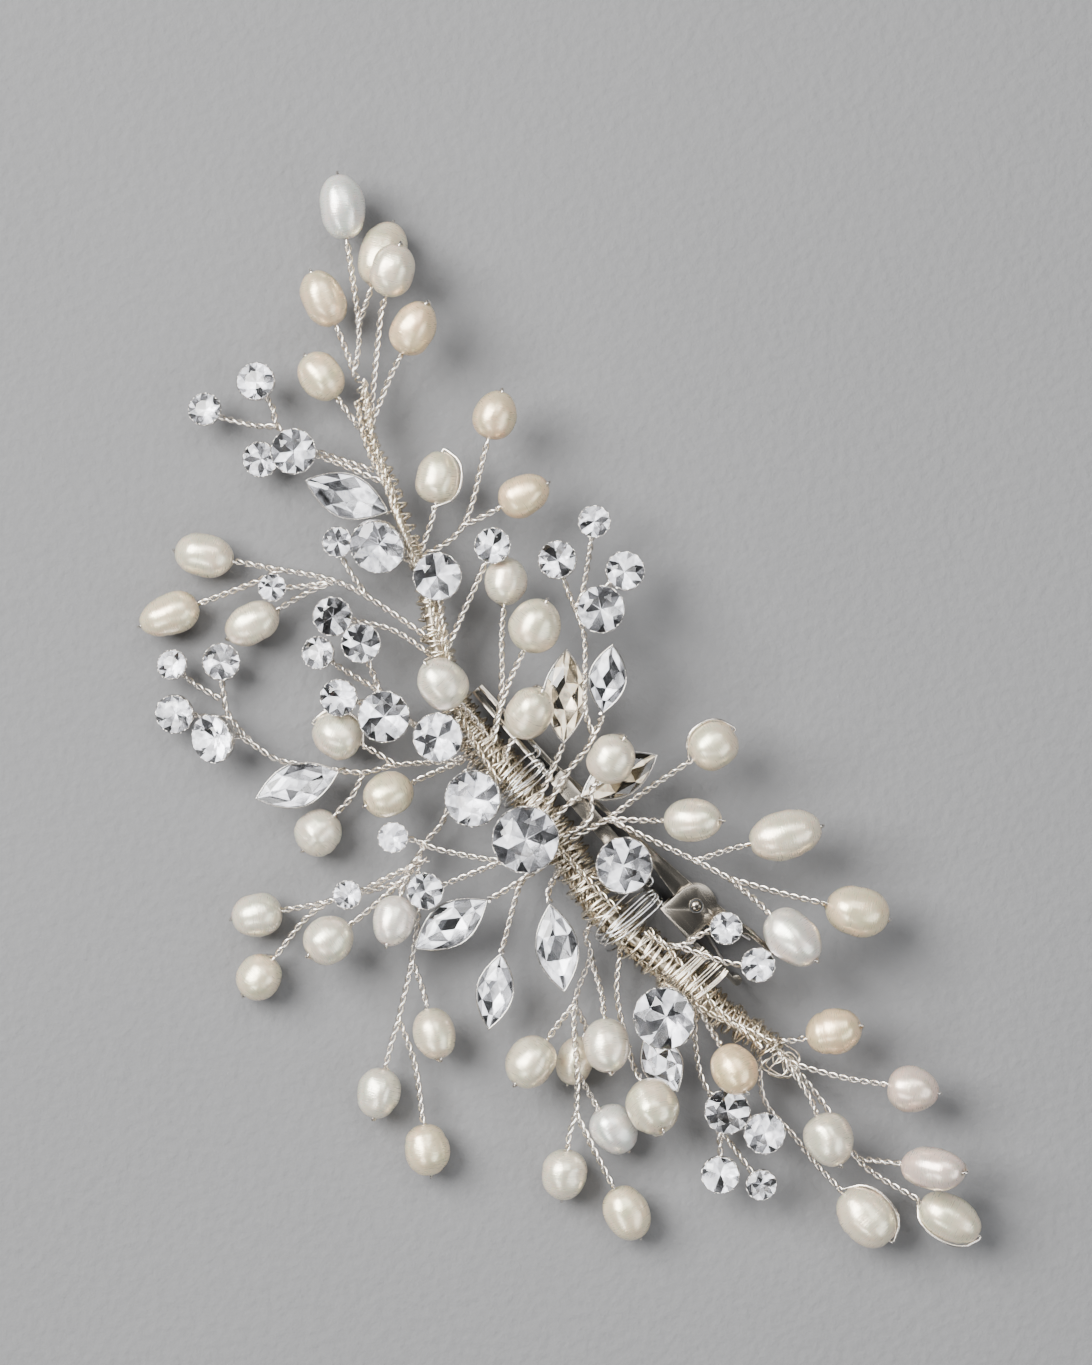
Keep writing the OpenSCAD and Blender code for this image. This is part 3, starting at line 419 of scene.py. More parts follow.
finishes = {
    "nacre": makeNacre(),
    "crystal": makeGlass("crystal", (0.97, 0.98, 1, 1)),
    "champagne": makeGlass("champagne", (0.98, 0.94, 0.87, 1)),
    "foilAndPaintedGlint": makeFoilAndPaintedGlint("foilAndPaintedGlint", (0.97, 0.97, 1, 1)),
    "warmFoilAndPaintedGlint": makeFoilAndPaintedGlint("warmFoilAndPaintedGlint", (0.95, 0.86, 0.7, 1)),
    "stemWire": makeMetal("stemWire", (0.95, 0.91, 0.86, 1), (0.78, 0.71, 0.62, 1), 0.12, 500, depth=0.00002),
    "fineWire": makeMetal("fineWire", (0.94, 0.88, 0.77, 1), (0.76, 0.67, 0.52, 1), 0.12, 600, depth=0.00002),
    "brightWire": makeMetal("brightWire", grey(0.93), grey(0.7), 0.1, 700),
    # the stems' wire painted darker, as painted shade under the winding
    "paintedShadeUnderWire": makeMetal("paintedShadeUnderWire", (0.8, 0.72, 0.58, 1), (0.3, 0.24, 0.17, 1), 0.18, 500),
    "cup": makeMetal("cup", (0.8, 0.78, 0.75, 1), (0.35, 0.32, 0.29, 1), 0.14, 600),
    "nickel": makeMetal("nickel", (0.46, 0.42, 0.36, 1), (0.22, 0.2, 0.17, 1), 0.13, 160,
                        (0.12, 3, 1), 0.00001),
    # near-black finish: painted shade for the rivet's sunk ring
    "paintedShadeNickel": makeMetal("paintedShadeNickel", grey(0.1), grey(0.03), 0.4, 300),
    "springSteel": makeMetal("springSteel", grey(0.62), grey(0.35), 0.25, 500),
    "paper": makePaper(),
}
print("finishes made")


# Working helpers

def at(place):
    return Vector(place) * mm + Vector((0, 0, bundleZ))


def turnTo(axis, middle):
    return Matrix.Translation(middle) @ axis.to_track_quat("Z", "Y").to_matrix().to_4x4()


def gather(target, source):
    # adds one finished bmesh to another and frees it
    scratch = bpy.data.meshes.new("scratch")
    source.to_mesh(scratch)
    source.free()
    target.from_mesh(scratch)
    bpy.data.meshes.remove(scratch)


def placePiece(name, mesh, materials, body, nodes, smooth=True):
    for material in materials:
        mesh.materials.append(finishes[material])
    if smooth:
        mesh.shade_smooth()
    else:
        mesh.shade_flat()
    piece = bpy.data.objects.new(name, mesh)
    bpy.context.scene.collection.objects.link(piece)
    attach(piece, body)
    if nodes:
        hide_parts(*nodes)


def meshFrom(name, bm):
    mesh = bpy.data.meshes.new(name)
    bm.to_mesh(mesh)
    bm.free()
    return mesh


def drawWires(bm, lines, radius, roundness=1):
    # round wires along point lists, as a mesh
    curve = bpy.data.curves.new("wires", "CURVE")
    curve.dimensions = "3D"
    curve.bevel_depth = radius
    curve.bevel_resolution = roundness
    curve.use_fill_caps = True
    for line in lines:
        spline = curve.splines.new("POLY")
        spline.points.add(len(line) - 1)
        for point, place in zip(spline.points, line):
            point.co = (*place, 1)
    holder = bpy.data.objects.new("wires", curve)
    bpy.context.scene.collection.objects.link(holder)
    bpy.context.view_layer.update()
    made = bpy.data.meshes.new_from_object(holder.evaluated_get(bpy.context.evaluated_depsgraph_get()))
    bpy.data.objects.remove(holder)
    bpy.data.curves.remove(curve)
    bm.from_mesh(made)
    bpy.data.meshes.remove(made)


def smoothLine(points, step):
    # even points along one smooth curve through the given ones
    ends = [points[0] * 2 - points[1], *points, points[-1] * 2 - points[-2]]
    line = []
    for before, start, stop, after in zip(ends, ends[1:], ends[2:], ends[3:]):
        count = max(2, math.ceil((stop - start).length / step))
        for i in range(count):
            t = i / count
            bend = before * 2 - start * 5 + stop * 4 - after
            turn = start * 3 - before - stop * 3 + after
            line.append((start * 2 + (stop - before) * t + bend * t ** 2 + turn * t ** 3) * 0.5)
    return line + [points[-1].copy()]


def framesAlong(line):
    # a pair of cross directions at each point, which turn as little as they can
    side = None
    frames = []
    for i, point in enumerate(line):
        tangent = (line[min(i + 1, len(line) - 1)] - line[max(i - 1, 0)]).normalized()
        side = tangent.orthogonal() if side is None else side - tangent * side.dot(tangent)
        side.normalize()
        frames.append((point, side.copy(), tangent.cross(side)))
    return frames


# the wire's radius, and how far each strand lies from the pair's middle
twist = {"wire": 0.165 * mm, "pitch": 2.4 * mm, "perTurn": 12, "spread": 0.245 * mm}


def twistPair(points, phase):
    # two strands wound round one line
    line = smoothLine(points, twist["pitch"] / twist["perTurn"])
    strands = ([], [])
    travelled = 0
    last = line[0]
    for point, side, up in framesAlong(line):
        travelled += (point - last).length
        last = point
        turn = phase + math.tau * travelled / twist["pitch"]
        reach = (side * math.cos(turn) + up * math.sin(turn)) * twist["spread"]
        strands[0].append(point + reach)
        strands[1].append(point - reach)
    return strands


# Pearls

nacreTints = {
    "ivory": (0.85, 0.77, 0.6), "cream": (0.85, 0.74, 0.52), "white": (0.84, 0.81, 0.74),
    "peach": (0.87, 0.68, 0.43), "pink": (0.83, 0.69, 0.6)}
pearlLook = {
    "around": 36, "along": 22, "bore": 0.26 * mm, "lumps": 0.07, "rings": 0.02, "deepRings": 2.6,
    "belly": 2.35, "round": 0.52, "taper": (-0.05, 0.14), "mouth": 0.955, "warmth": 0.03, "grooves": 5,
    "foot": 0.35 * mm, "loopSteps": 14,
    "tints": {
        "tip": "white cream ivory peach peach cream",
        "right_fan": "peach cream peach",
        "left_drop": "ivory cream ivory",
        "curl": "ivory cream ivory",
        "heart": "ivory cream ivory cream",
        "wing": "ivory cream ivory ivory cream white",
        "low_spray": "ivory cream ivory white cream ivory cream",
        "low_bunch": "cream ivory ivory cream white ivory cream",
        "side": "peach",
        "tail": "peach pink ivory pink cream ivory"},
    # pearls with plain growth rings, by their place in the sprig
    "ringed": {"tail": (0, 3, 5), "low_bunch": (3,), "low_spray": (6,), "wing": (3,), "curl": (2,)},
    # pearls whose wire comes back round the side, to the left or right
    "sideLoops": {"curl": {0: 1}, "wing": {1: -1}, "tail": {4: 1, 5: -1}, "right_fan": {1: 1}}}


def pearlGirth(t, taper=0):
    # share of the widest radius at a share t of the half length
    return max(0, 1 - abs(t) ** pearlLook["belly"]) ** pearlLook["round"] * (1 - taper * t)


def makePearl(width, length, axis, middle, tint, seed, ringed):
    draw = random.Random(seed)
    bm = bmesh.new()
    bmesh.ops.create_uvsphere(bm, u_segments=pearlLook["around"], v_segments=pearlLook["along"], radius=1)
    bmesh.ops.delete(bm, geom=[v for v in bm.verts if abs(v.co.z) > 0.9999], context="VERTS")
    tintLayer = bm.verts.layers.float_color.new("tint")
    shellLayer = bm.verts.layers.float_vector.new("shell")
    grooves = [(draw.uniform(-0.8, 0.8), draw.uniform(0.03, 0.09), ringed * draw.uniform(-0.2, 1))
               for _ in range(pearlLook["grooves"])]
    offset = Vector((draw.uniform(0, 90), draw.uniform(0, 90), draw.uniform(0, 90)))
    warm = draw.uniform(-pearlLook["warmth"], pearlLook["warmth"])
    taper = draw.uniform(*pearlLook["taper"])
    edgeZ = max(v.co.z for v in bm.verts)
    for v in bm.verts:
        t = v.co.z
        outward = Vector((v.co.x, v.co.y, 0)).normalized()
        girth = pearlGirth(t, taper)
        girth *= 1 + pearlLook["lumps"] * noise.noise(v.co * 1.4 + offset)
        for place, wide, deep in grooves:
            girth -= pearlLook["rings"] * deep * math.exp(-((t - place) / wide) ** 2)
        v[shellLayer] = Vector((outward.x * 0.4, outward.y * 0.4, t)) + offset
        v[tintLayer] = (tint[0] + warm, tint[1], tint[2] - warm, 1)
        if abs(t) > edgeZ - 0.0001:
            mouth = math.copysign(length / 2 * pearlLook["mouth"], t)
            v.co = outward * pearlLook["bore"] + Vector((0, 0, mouth))
        else:
            v.co = outward * (width / 2 * girth) + Vector((0, 0, t * length / 2))
    bmesh.ops.bridge_loops(bm, edges=[e for e in bm.edges if e.is_boundary])
    bmesh.ops.recalc_face_normals(bm, faces=bm.faces)
    bmesh.ops.transform(bm, matrix=turnTo(axis, middle), verts=bm.verts)
    return bm


def pearlAxis(row):
    return (at(row[0]) - at(row[3][0])).normalized()


def pearlWire(row, seed, sideways):
    # one wire: twisted pair, through the bore, round outside, back into the pair
    draw = random.Random(seed)
    axis = pearlAxis(row)
    middle = at(row[0])
    half = row[2] * mm / 2
    foot = middle - axis * (half + pearlLook["foot"])
    out, back = twistPair([foot, *[at(p) for p in row[3]]], draw.uniform(0, math.tau))
    across = axis.cross(Vector((0, 0, 1))).normalized()
    down = Vector((0, 0, -1)) - axis * axis.dot(Vector((0, 0, -1)))
    lean = draw.uniform(-0.7, 0.7)
    if sideways:
        way = across * sideways + Vector((0, 0, 0.35))
    else:
        way = down.normalized() + across * lean
    way.normalize()
    wire = twist["wire"]
    loop = [middle - axis * half * 0.9, middle, middle + axis * half * 0.94]
    loop.append(middle + axis * (half + 0.22 * mm) + way * 0.12 * mm)
    loop.append(middle + axis * (half + 0.18 * mm) + way * 0.5 * mm)
    for i in range(1, pearlLook["loopSteps"]):
        t = 0.97 - 1.94 * i / pearlLook["loopSteps"]
        reach = row[1] * mm / 2 * (pearlGirth(t) + 0.05) + wire
        loop.append(middle + axis * half * t + way * max(reach, 0.5 * mm))
    loop.append(foot + way * wire + axis * 0.1 * mm)
    return out[::-1] + loop + back


# Crystals

# heights and ring sizes as shares of the stone's diameter or radius
cutLook = {
    "table": 0.54, "tableHeight": 0.17, "star": 0.8, "starHeight": 0.115, "girdle": 0.03, "belly": 0.5,
    "bellyDepth": -0.2, "culet": 0.03, "culetDepth": -0.36,
    # painted brightness of each silvered facet's reflection, one drawn per facet
    "paintedFlashes": (1, 0.08, 0.85, 0.5, 0.95, 0.03, 0.75, 0.25, 0.9)}


def ringOf(bm, sides, radius, height, turn):
    made = bmesh.ops.create_circle(bm, segments=sides, radius=radius, cap_ends=False)["verts"]
    bmesh.ops.rotate(bm, verts=made, matrix=Matrix.Rotation(turn, 3, "Z"))
    bmesh.ops.translate(bm, verts=made, vec=(0, 0, height))
    return made


def facetHull(bm):
    # the cut stone is the tight skin of its ring corners
    bmesh.ops.delete(bm, geom=list(bm.edges), context="EDGES_FACES")
    bmesh.ops.convex_hull(bm, input=list(bm.verts))
    bmesh.ops.delete(bm, geom=[v for v in bm.verts if not v.link_faces], context="VERTS")
    bmesh.ops.dissolve_limit(bm, angle_limit=math.radians(0.6), verts=list(bm.verts), edges=list(bm.edges))
    bmesh.ops.recalc_face_normals(bm, faces=bm.faces)


def foilBackWithPaintedFlash(bm, height, seed):
    # silvers the faces under the girdle, each with its own painted flash of reflected light
    draw = random.Random(seed)
    layer = bm.faces.layers.float.new("flash")
    for face in bm.faces:
        if face.calc_center_median().z < height:
            face.material_index = 1
            # painted reflection: this value sets how bright or dark the facet is painted
            face[layer] = draw.choice(cutLook["paintedFlashes"])


def makeRound(diameter, axis, middle, seed):
    look = cutLook
    radius = diameter / 2
    step = math.tau / 8
    turn = random.Random(seed).uniform(0, math.tau)
    bm = bmesh.new()
    ringOf(bm, 8, radius * look["table"], diameter * look["tableHeight"], turn)
    ringOf(bm, 8, radius * look["star"], diameter * look["starHeight"], turn + step / 2)
    ringOf(bm, 16, radius, diameter * look["girdle"], turn)
    ringOf(bm, 16, radius, 0, turn)
    ringOf(bm, 8, radius * look["belly"], diameter * look["bellyDepth"], turn + step / 2)
    ringOf(bm, 8, radius * look["culet"], diameter * look["culetDepth"], turn)
    facetHull(bm)
    foilBackWithPaintedFlash(bm, -0.01 * diameter, seed)
    bmesh.ops.transform(bm, matrix=turnTo(axis, middle), verts=bm.verts)
    return bm


# each ring of a boat-shaped stone: corners, share of its size, height in millimetres
navetteLook = {
    "point": 1.9,
    "rings": [(8, 0.5, 0.62), (8, 0.8, 0.42), (16, 1, 0.14), (16, 1, 0.06), (8, 0.7, -0.3), (4, 0.3, -0.5)]}


def lensShape(verts, length, width):
    # pulls a round ring into a boat shape with pointed ends
    for v in verts:
        spot = math.atan2(v.co.y, v.co.x)
        along = math.cos(spot)
        v.co.x = length / 2 * along
        v.co.y = math.copysign(width / 2 * (1 - abs(along) ** navetteLook["point"]), math.sin(spot))


def navetteMatrix(row):
    tip, tail = at(row[0]), at(row[1])
    along = (tail - tip).normalized()
    across = Vector((0, 0, 1)).cross(along).normalized()
    turned = Matrix((along, across, along.cross(across))).transposed().to_4x4()
    return Matrix.Translation((tip + tail) / 2) @ turned, (tail - tip).length


def makeNavette(row, seed):
    place, length = navetteMatrix(row)
    width = row[2] * mm
    bm = bmesh.new()
    for sides, share, height in navetteLook["rings"]:
        ring = ringOf(bm, sides, 1, 0, 0 if sides != 8 else math.tau / 16)
        lensShape(ring, length * share, width * share)
        bmesh.ops.translate(bm, verts=ring, vec=(0, 0, height * mm))
    facetHull(bm)
    foilBackWithPaintedFlash(bm, 0.05 * mm, seed)
    bmesh.ops.transform(bm, matrix=place, verts=bm.verts)
    return bm


cupLook = {
    "wall": 0.11 * mm, "scallops": 12, "around": 84, "rise": 0.04, "depth": 0.42, "foot": 0.42 * mm,
    "cut": 0.05, "fold": 0.02}


def makeCup(diameter, axis, middle, turn):
    # turned cup whose lip is cut into small scallops folded over the girdle
    look = cupLook
    radius = diameter / 2
    outer = radius + look["wall"]
    deep = diameter * look["depth"] + 0.2 * mm
    lip = diameter * look["rise"]
    profile = [
        (0.1 * radius, -deep + 0.15 * mm), (0.55 * radius, -deep + 0.2 * mm),
        (radius + 0.02 * mm, -0.02 * mm), (radius - 0.05 * mm, lip), (outer - 0.05 * mm, lip * 0.8),
        (outer, 0), (outer, -0.1 * diameter), (0.62 * radius, -deep), (0.1 * radius, -deep)]
    bm = bmesh.new()
    verts = [bm.verts.new((x, 0, z)) for x, z in profile]
    edges = [bm.edges.new(pair) for pair in zip(verts, verts[1:] + verts[:1])]
    bmesh.ops.spin(bm, geom=verts + edges, cent=(0, 0, 0), axis=(0, 0, 1), dvec=(0, 0, 0), angle=math.tau,
                   steps=look["around"], use_merge=True)
    bmesh.ops.remove_doubles(bm, verts=bm.verts, dist=0.001 * mm)
    for v in bm.verts:
        if v.co.z > 0.02 * diameter:
            wave = 0.5 + 0.5 * math.cos(look["scallops"] * math.atan2(v.co.y, v.co.x))
            v.co.z -= (1 - wave) * diameter * look["cut"]
            v.co.xy *= 1 + (1 - wave) * look["fold"]
    bmesh.ops.recalc_face_normals(bm, faces=bm.faces)
    bmesh.ops.transform(bm, matrix=turnTo(axis, middle) @ Matrix.Rotation(turn, 4, "Z"), verts=bm.verts)
    return bm


navetteRim = {"around": 64, "gap": 0.04 * mm, "wall": 0.16 * mm}


def makeNavetteRim(row):
    # a thin rim round the stone's girdle
    place, length = navetteMatrix(row)
    look = navetteRim
    bm = bmesh.new()
    inner, outer = look["gap"], look["gap"] + look["wall"]
    loops = []
    for grow, height in ((inner, -0.5), (inner, 0.16), (outer, 0.12), (outer, -0.55)):
        ring = ringOf(bm, look["around"], 1, 0, 0)
        lensShape(ring, length + 3 * grow, row[2] * mm + 2 * grow)
        bmesh.ops.translate(bm, verts=ring, vec=(0, 0, height * mm))
        loops.append([e for e in bm.edges if all(v in ring for v in e.verts)])
    for first, second in zip(loops, loops[1:] + loops[:1]):
        bmesh.ops.bridge_loops(bm, edges=first + second)
    bmesh.ops.recalc_face_normals(bm, faces=bm.faces)
    bmesh.ops.transform(bm, matrix=place, verts=bm.verts)
    return bm


def leanAxis(row):
    return Vector((row[2][0], row[2][1], 1)).normalized()


def cupWire(row, seed):
    draw = random.Random(seed)
    axis = leanAxis(row)
    base = at(row[0]) - axis * (row[1] * mm * cupLook["depth"] + cupLook["foot"])
    route = [base, base - axis * 0.5 * mm, *[at(p) for p in row[3]]]
    return twistPair(route, draw.uniform(0, math.tau))


def navetteWire(row, seed):
    draw = random.Random(seed)
    tail = at(row[1])
    along = (tail - at(row[0])).normalized()
    return twistPair([tail + along * 0.35 * mm, *[at(p) for p in row[3]]], draw.uniform(0, math.tau))


# Sprigs

champagneStones = {("crest", 0), ("wing", 0)}  # navettes of warm glass


def buildPearls(sprig, rows, seed):
    bm = bmesh.new()
    tints = pearlLook["tints"][sprig].split()
    for i, row in enumerate(rows):
        ringed = pearlLook["deepRings"] if i in pearlLook["ringed"].get(sprig, ()) else 1
        tint = nacreTints[tints[i]]
        gather(bm, makePearl(row[1] * mm, row[2] * mm, pearlAxis(row), at(row[0]), tint, seed + i, ringed))
    node = sprig + "_pearls"
    placePiece(node + "_look", meshFrom(node, bm), ["nacre"], sprayBody, [node])


def buildCrystals(sprig, rounds, navettes, seed):
    node = sprig + "_crystals"
    pale = bmesh.new()
    warm = bmesh.new()
    for i, row in enumerate(rounds):
        gather(pale, makeRound(row[1] * mm, leanAxis(row), at(row[0]), seed + i))
    for i, row in enumerate(navettes):
        gather(warm if (sprig, i) in champagneStones else pale, makeNavette(row, seed + i))
    if warm.verts:
        mesh = meshFrom(node + "_warm", warm)
        placePiece(node + "_warm", mesh, ["champagne", "warmFoilAndPaintedGlint"], sprayBody, [node], False)
    if pale.verts:
        mesh = meshFrom(node, pale)
        placePiece(node + "_look", mesh, ["crystal", "foilAndPaintedGlint"], sprayBody, [node], False)
    cups = bmesh.new()
    for i, row in enumerate(rounds):
        turn = random.Random(seed + i).uniform(0, 1)
        gather(cups, makeCup(row[1] * mm, leanAxis(row), at(row[0]), turn))
    for row in navettes:
        gather(cups, makeNavetteRim(row))
    node = sprig + "_settings"
    placePiece(node + "_look", meshFrom(node, cups), ["cup"], sprayBody, [node])


def buildStems(sprig, rows, seed):
    sides = pearlLook["sideLoops"].get(sprig, {})
    lines = [pearlWire(row, seed + i, sides.get(i, 0)) for i, row in enumerate(rows.get("pearls", []))]
    for i, row in enumerate(rows.get("crystals", [])):
        lines += cupWire(row, seed + 20 + i)
    for i, row in enumerate(rows.get("navettes", [])):
        lines += navetteWire(row, seed + 40 + i)
    for i, route in enumerate(rows.get("stalks", [])):
        lines += twistPair([at(p) for p in route], seed + i)
    bm = bmesh.new()
    drawWires(bm, lines, twist["wire"])
    node = sprig + "_stems"
    placePiece(node + "_look", meshFrom(node, bm), ["stemWire"], sprayBody, [node])


for number, (sprig, rows) in enumerate(spray.items()):
    seed = 100 * (number + 1)
    if "pearls" in rows:
        buildPearls(sprig, rows["pearls"], seed)
    if "crystals" in rows or "navettes" in rows:
        buildCrystals(sprig, rows.get("crystals", []), rows.get("navettes", []), seed)
    buildStems(sprig, rows, seed)
print("sprigs made")


# Bundle

bundle = {
    "pairs": 9, "tip": -58, "tipStep": 3.2, "tail": 31.5, "tailStep": 2.4, "twist": 0.055, "core": 0.9 * mm,
    "step": 0.5, "fine": 0.115 * mm, "perTurn": 20, "lump": 0.14 * mm, "flatten": 0.75, "curls": 5,
    # each winding: first and last x, pitch, hand, seed, distance off the bundle
    "windings": [
        (-58.4, 31, 1.15, 1, 1, 0), (-56, 30, 1.4, -1, 2, 0.12 * mm),
        (-34, 31, 2.7, 1, 3, 0.3 * mm), (-20, 31.5, 3.3, -1, 6, 0.42 * mm)],
    # each pair laid over them: first and last x, then the side it starts and ends on
    "over": [
        (11, 31.4, -0.9, 0.5), (16, 31.4, 0.8, -0.4), (-9, 7, 0.7, -0.6), (-31, -12, -0.7, 0.6),
        (-45, -27, 0.6, -0.5), (-58, -40, -0.5, 0.5), (-56, -33, 0.9, 0.1)]}


def bundleLine(first, last):
    # (middle, diameter) along the bundle between two x places, in metres
    line = smoothLine([Vector(p) for p in spinePath], bundle["step"])
    return [(at((p.x, p.y, 0)), p.z * mm) for p in line if first <= p.x <= last]


def layBundle():
    # the stems' tails, which lie side by side round a thin core
    draw = random.Random(11)
    bm = bmesh.new()
    lines = []
    for k in range(bundle["pairs"]):
        first = bundle["tip"] + k * bundle["tipStep"] + draw.uniform(0, 2)
        path = bundleLine(first, bundle["tail"] - (k % 4) * bundle["tailStep"])
        frames = framesAlong([middle for middle, _ in path])
        start = math.tau * k / bundle["pairs"]
        route = []
        for i, ((middle, side, up), (_, size)) in enumerate(zip(frames, path)):
            turn = start + i * bundle["twist"] + 0.5 * noise.noise(Vector((i * 0.08, k * 7, 0)))
            reach = max(0.1 * mm, size / 2 - twist["spread"] * 2)
            route.append(middle + (side * math.cos(turn) + up * math.sin(turn)) * reach)
        lines += twistPair(route[::4] + route[-1:], draw.uniform(0, 6))
    drawWires(bm, lines, twist["wire"])
    drawWires(bm, [[middle for middle, _ in bundleLine(-40, 29)]], bundle["core"], 2)
    # painted shade: the laid tails and core get the darker copy of the stem wire's colour
    placePiece("bundle_lay", meshFrom("bundle_lay", bm), ["paintedShadeUnderWire"], sprayBody, ["spine_core"])


def layOver(first, last, start, stop):
    # a twisted pair that runs along the bundle outside the winding
    path = bundleLine(first, last)
    across = (path[-1][0] - path[0][0]).normalized().cross((0, 0, 1))
    route = []
    for i, (middle, size) in enumerate(path[::5]):
        turn = start + (stop - start) * i * 5 / len(path)
        facing = Vector((0, 0, 1)) * math.cos(turn) + across * math.sin(turn)
        route.append(middle + facing * (size / 2 + twist["spread"] + bundle["fine"] * 3))
    return twistPair(route, start * 5)


def windRound(first, last, pitch, hand, seed, grow):
    # a fine wire wound unevenly round the bundle
    draw = random.Random(seed)
    path = bundleLine(first, last)
    frames = framesAlong([middle for middle, _ in path])
    perTurn = bundle["perTurn"]
    travel = 0
    turn = draw.uniform(0, math.tau)
    line = []
    while travel < len(path) - 1.01:
        i = int(travel)
        share = travel - i
        middle = path[i][0].lerp(path[i + 1][0], share)
        size = path[i][1] * (1 - share) + path[i + 1][1] * share
        _, side, up = frames[i]
        lump = noise.noise(Vector((travel * 0.25, turn * 0.3, seed))) * bundle["lump"]
        facing = side * math.cos(turn) + up * math.sin(turn)
        reach = size / 2 + bundle["fine"] + grow * (1 - bundle["flatten"] * facing.z ** 2) + lump
        line.append(middle + facing * reach)
        crowd = 1 + 0.8 * noise.noise(Vector((travel * 0.12, seed, 3)))
        travel += pitch * crowd / perTurn / bundle["step"]
        turn += hand * math.tau / perTurn
    return line


def wrapBundle():
    bm = bmesh.new()
    lines = [windRound(*winding) for winding in bundle["windings"]]
    for k in range(bundle["curls"]):
        # loose ends that curl at the tail
        draw = random.Random(60 + k)
        start = at((31 + 0.3 * k, -2.0 + draw.uniform(-1, 1), draw.uniform(-0.8, 0.8)))
        away = Vector((draw.uniform(0.6, 2.2), draw.uniform(-2.2, 1.2), draw.uniform(-0.5, 0.9))) * mm
        bend = away.cross(Vector((0, 0, 1))) * 0.9
        curl = [start, start + away * 0.5 + bend, start + away * 1.2]
        curl += [start + away * 0.4 - bend * 0.7, start - away * 0.3]
        lines.append(smoothLine(curl, 0.12 * mm))
    drawWires(bm, lines, bundle["fine"])
    over = []
    for ends in bundle["over"]:
        over += layOver(*ends)
    drawWires(bm, over, twist["wire"])
    placePiece("bundle_wrap", meshFrom("bundle_wrap", bm), ["fineWire"], sprayBody, ["spine_wrap"])


layBundle()
wrapBundle()
print("bundle made")


# Lashings round the clip's bar and the bundle

lashing = {
    "wire": 0.11 * mm, "turns": 6, "space": 0.42, "lean": (0.6, 1.7), "low": 0.55, "high": 6.45,
    "reach": 2.95}


def makeLashing(node, x, bundleY, seed):
    draw = random.Random(seed)
    low, high = lashing["low"], lashing["high"]
    far = bundleY - lashing["reach"]
    # (y, z) corners of one turn, from the bar round the bundle
    loop = [
        (-0.38, low), (-0.38, high), (-1.5, high + 0.15), (bundleY, 7.75), (far + 0.7, 6.9), (far, 5),
        (far + 0.7, 3.1), (bundleY, 2.25), (-1.5, low - 0.05)]
    points = []
    for turn in range(lashing["turns"]):
        drift = (turn - lashing["turns"] / 2) * lashing["space"] + draw.uniform(-0.12, 0.12)
        lean = draw.uniform(*lashing["lean"]) * (-1) ** turn
        for k, (y, z) in enumerate(loop):
            slant = lean * math.sin(math.tau * k / len(loop))
            points.append(Vector((x + drift + slant, y + draw.uniform(-0.04, 0), z)) * mm)
    bm = bmesh.new()
    lines = [smoothLine(points, 0.3 * mm)]
    tail = [Vector((x - 1.2, -0.3, 6.5)), Vector((x - 1.6, 0.1, 7.1)), Vector((x - 2.4, 0.2, 7.6))]
    lines += twistPair([p * mm for p in tail], 1)
    drawWires(bm, lines, lashing["wire"])
    placePiece(node + "_look", meshFrom(node, bm), ["brightWire"], sprayBody, [node])


tabTie = {
    "wire": 0.092 * mm, "turns": 18, "first": 16.4, "space": 0.24, "slant": 0.8, "tabX": 17, "slope": 0.09}


def bindTab():
    # fine wire that holds the base tab against the bundle
    draw = random.Random(21)
    points = []
    for turn in range(tabTie["turns"]):
        x = tabTie["first"] + turn * tabTie["space"] + draw.uniform(-0.1, 0.1)
        inner = -0.3 + tabTie["slope"] * (x - tabTie["tabX"])
        slant = draw.uniform(-tabTie["slant"], tabTie["slant"])
        loop = [
            (inner, 0.5), (inner, 6.6), (inner - 0.25, 7.16), (-1.2, 7.2), (-2.6, 7.5), (-5, 7.55),
            (-6.9, 6.3), (-7.3, 5), (-6.9, 3.7), (-5, 2.5), (-2.2, 0.3), (-1.3, -0.1),
            (inner - 0.25, -0.12)]
        for k, (y, z) in enumerate(loop):
            share = k / len(loop)
            shift = slant * math.sin(math.tau * share) + tabTie["space"] * share
            points.append(Vector((x + shift, y, z)) * mm)
    bm = bmesh.new()
    drawWires(bm, [smoothLine(points, 0.3 * mm)], tabTie["wire"])
    placePiece("tab_wrap", meshFrom("tab_wrap", bm), ["fineWire"], sprayBody, [])


bindTab()
makeLashing("clip_binding_front", -11, -4.2, 5)
makeLashing("clip_binding_rear", 8.5, -6, 6)
print("lashings made")


# Clip

pivot = Vector((12.5, 2.1, 0)) * mm
plateEdge = {"bevel": 0.07 * mm, "sharp": math.radians(40)}


def edgedCopy(node, body):
    # the plate with its sharp edges eased
    bm = bmesh.new()
    bm.from_mesh(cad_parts[node].data)
    bmesh.ops.remove_doubles(bm, verts=bm.verts, dist=0.0005 * mm)
    bmesh.ops.dissolve_limit(bm, angle_limit=math.radians(1), verts=bm.verts, edges=bm.edges)
    sharp = [e for e in bm.edges if e.is_manifold and e.calc_face_angle() > plateEdge["sharp"]]
    bmesh.ops.bevel(bm, geom=sharp, offset=plateEdge["bevel"], offset_type="OFFSET", segments=2, profile=0.5,
                    affect="EDGES", material=-1, clamp_overlap=True)
    bmesh.ops.recalc_face_normals(bm, faces=bm.faces)
    placePiece(node + "_look", meshFrom(node, bm), ["nickel"], body, [node])


rivet = {"head": 0.85 * mm, "dome": 0.72, "rise": 0.34 * mm, "shank": 0.5 * mm, "top": 7 * mm}


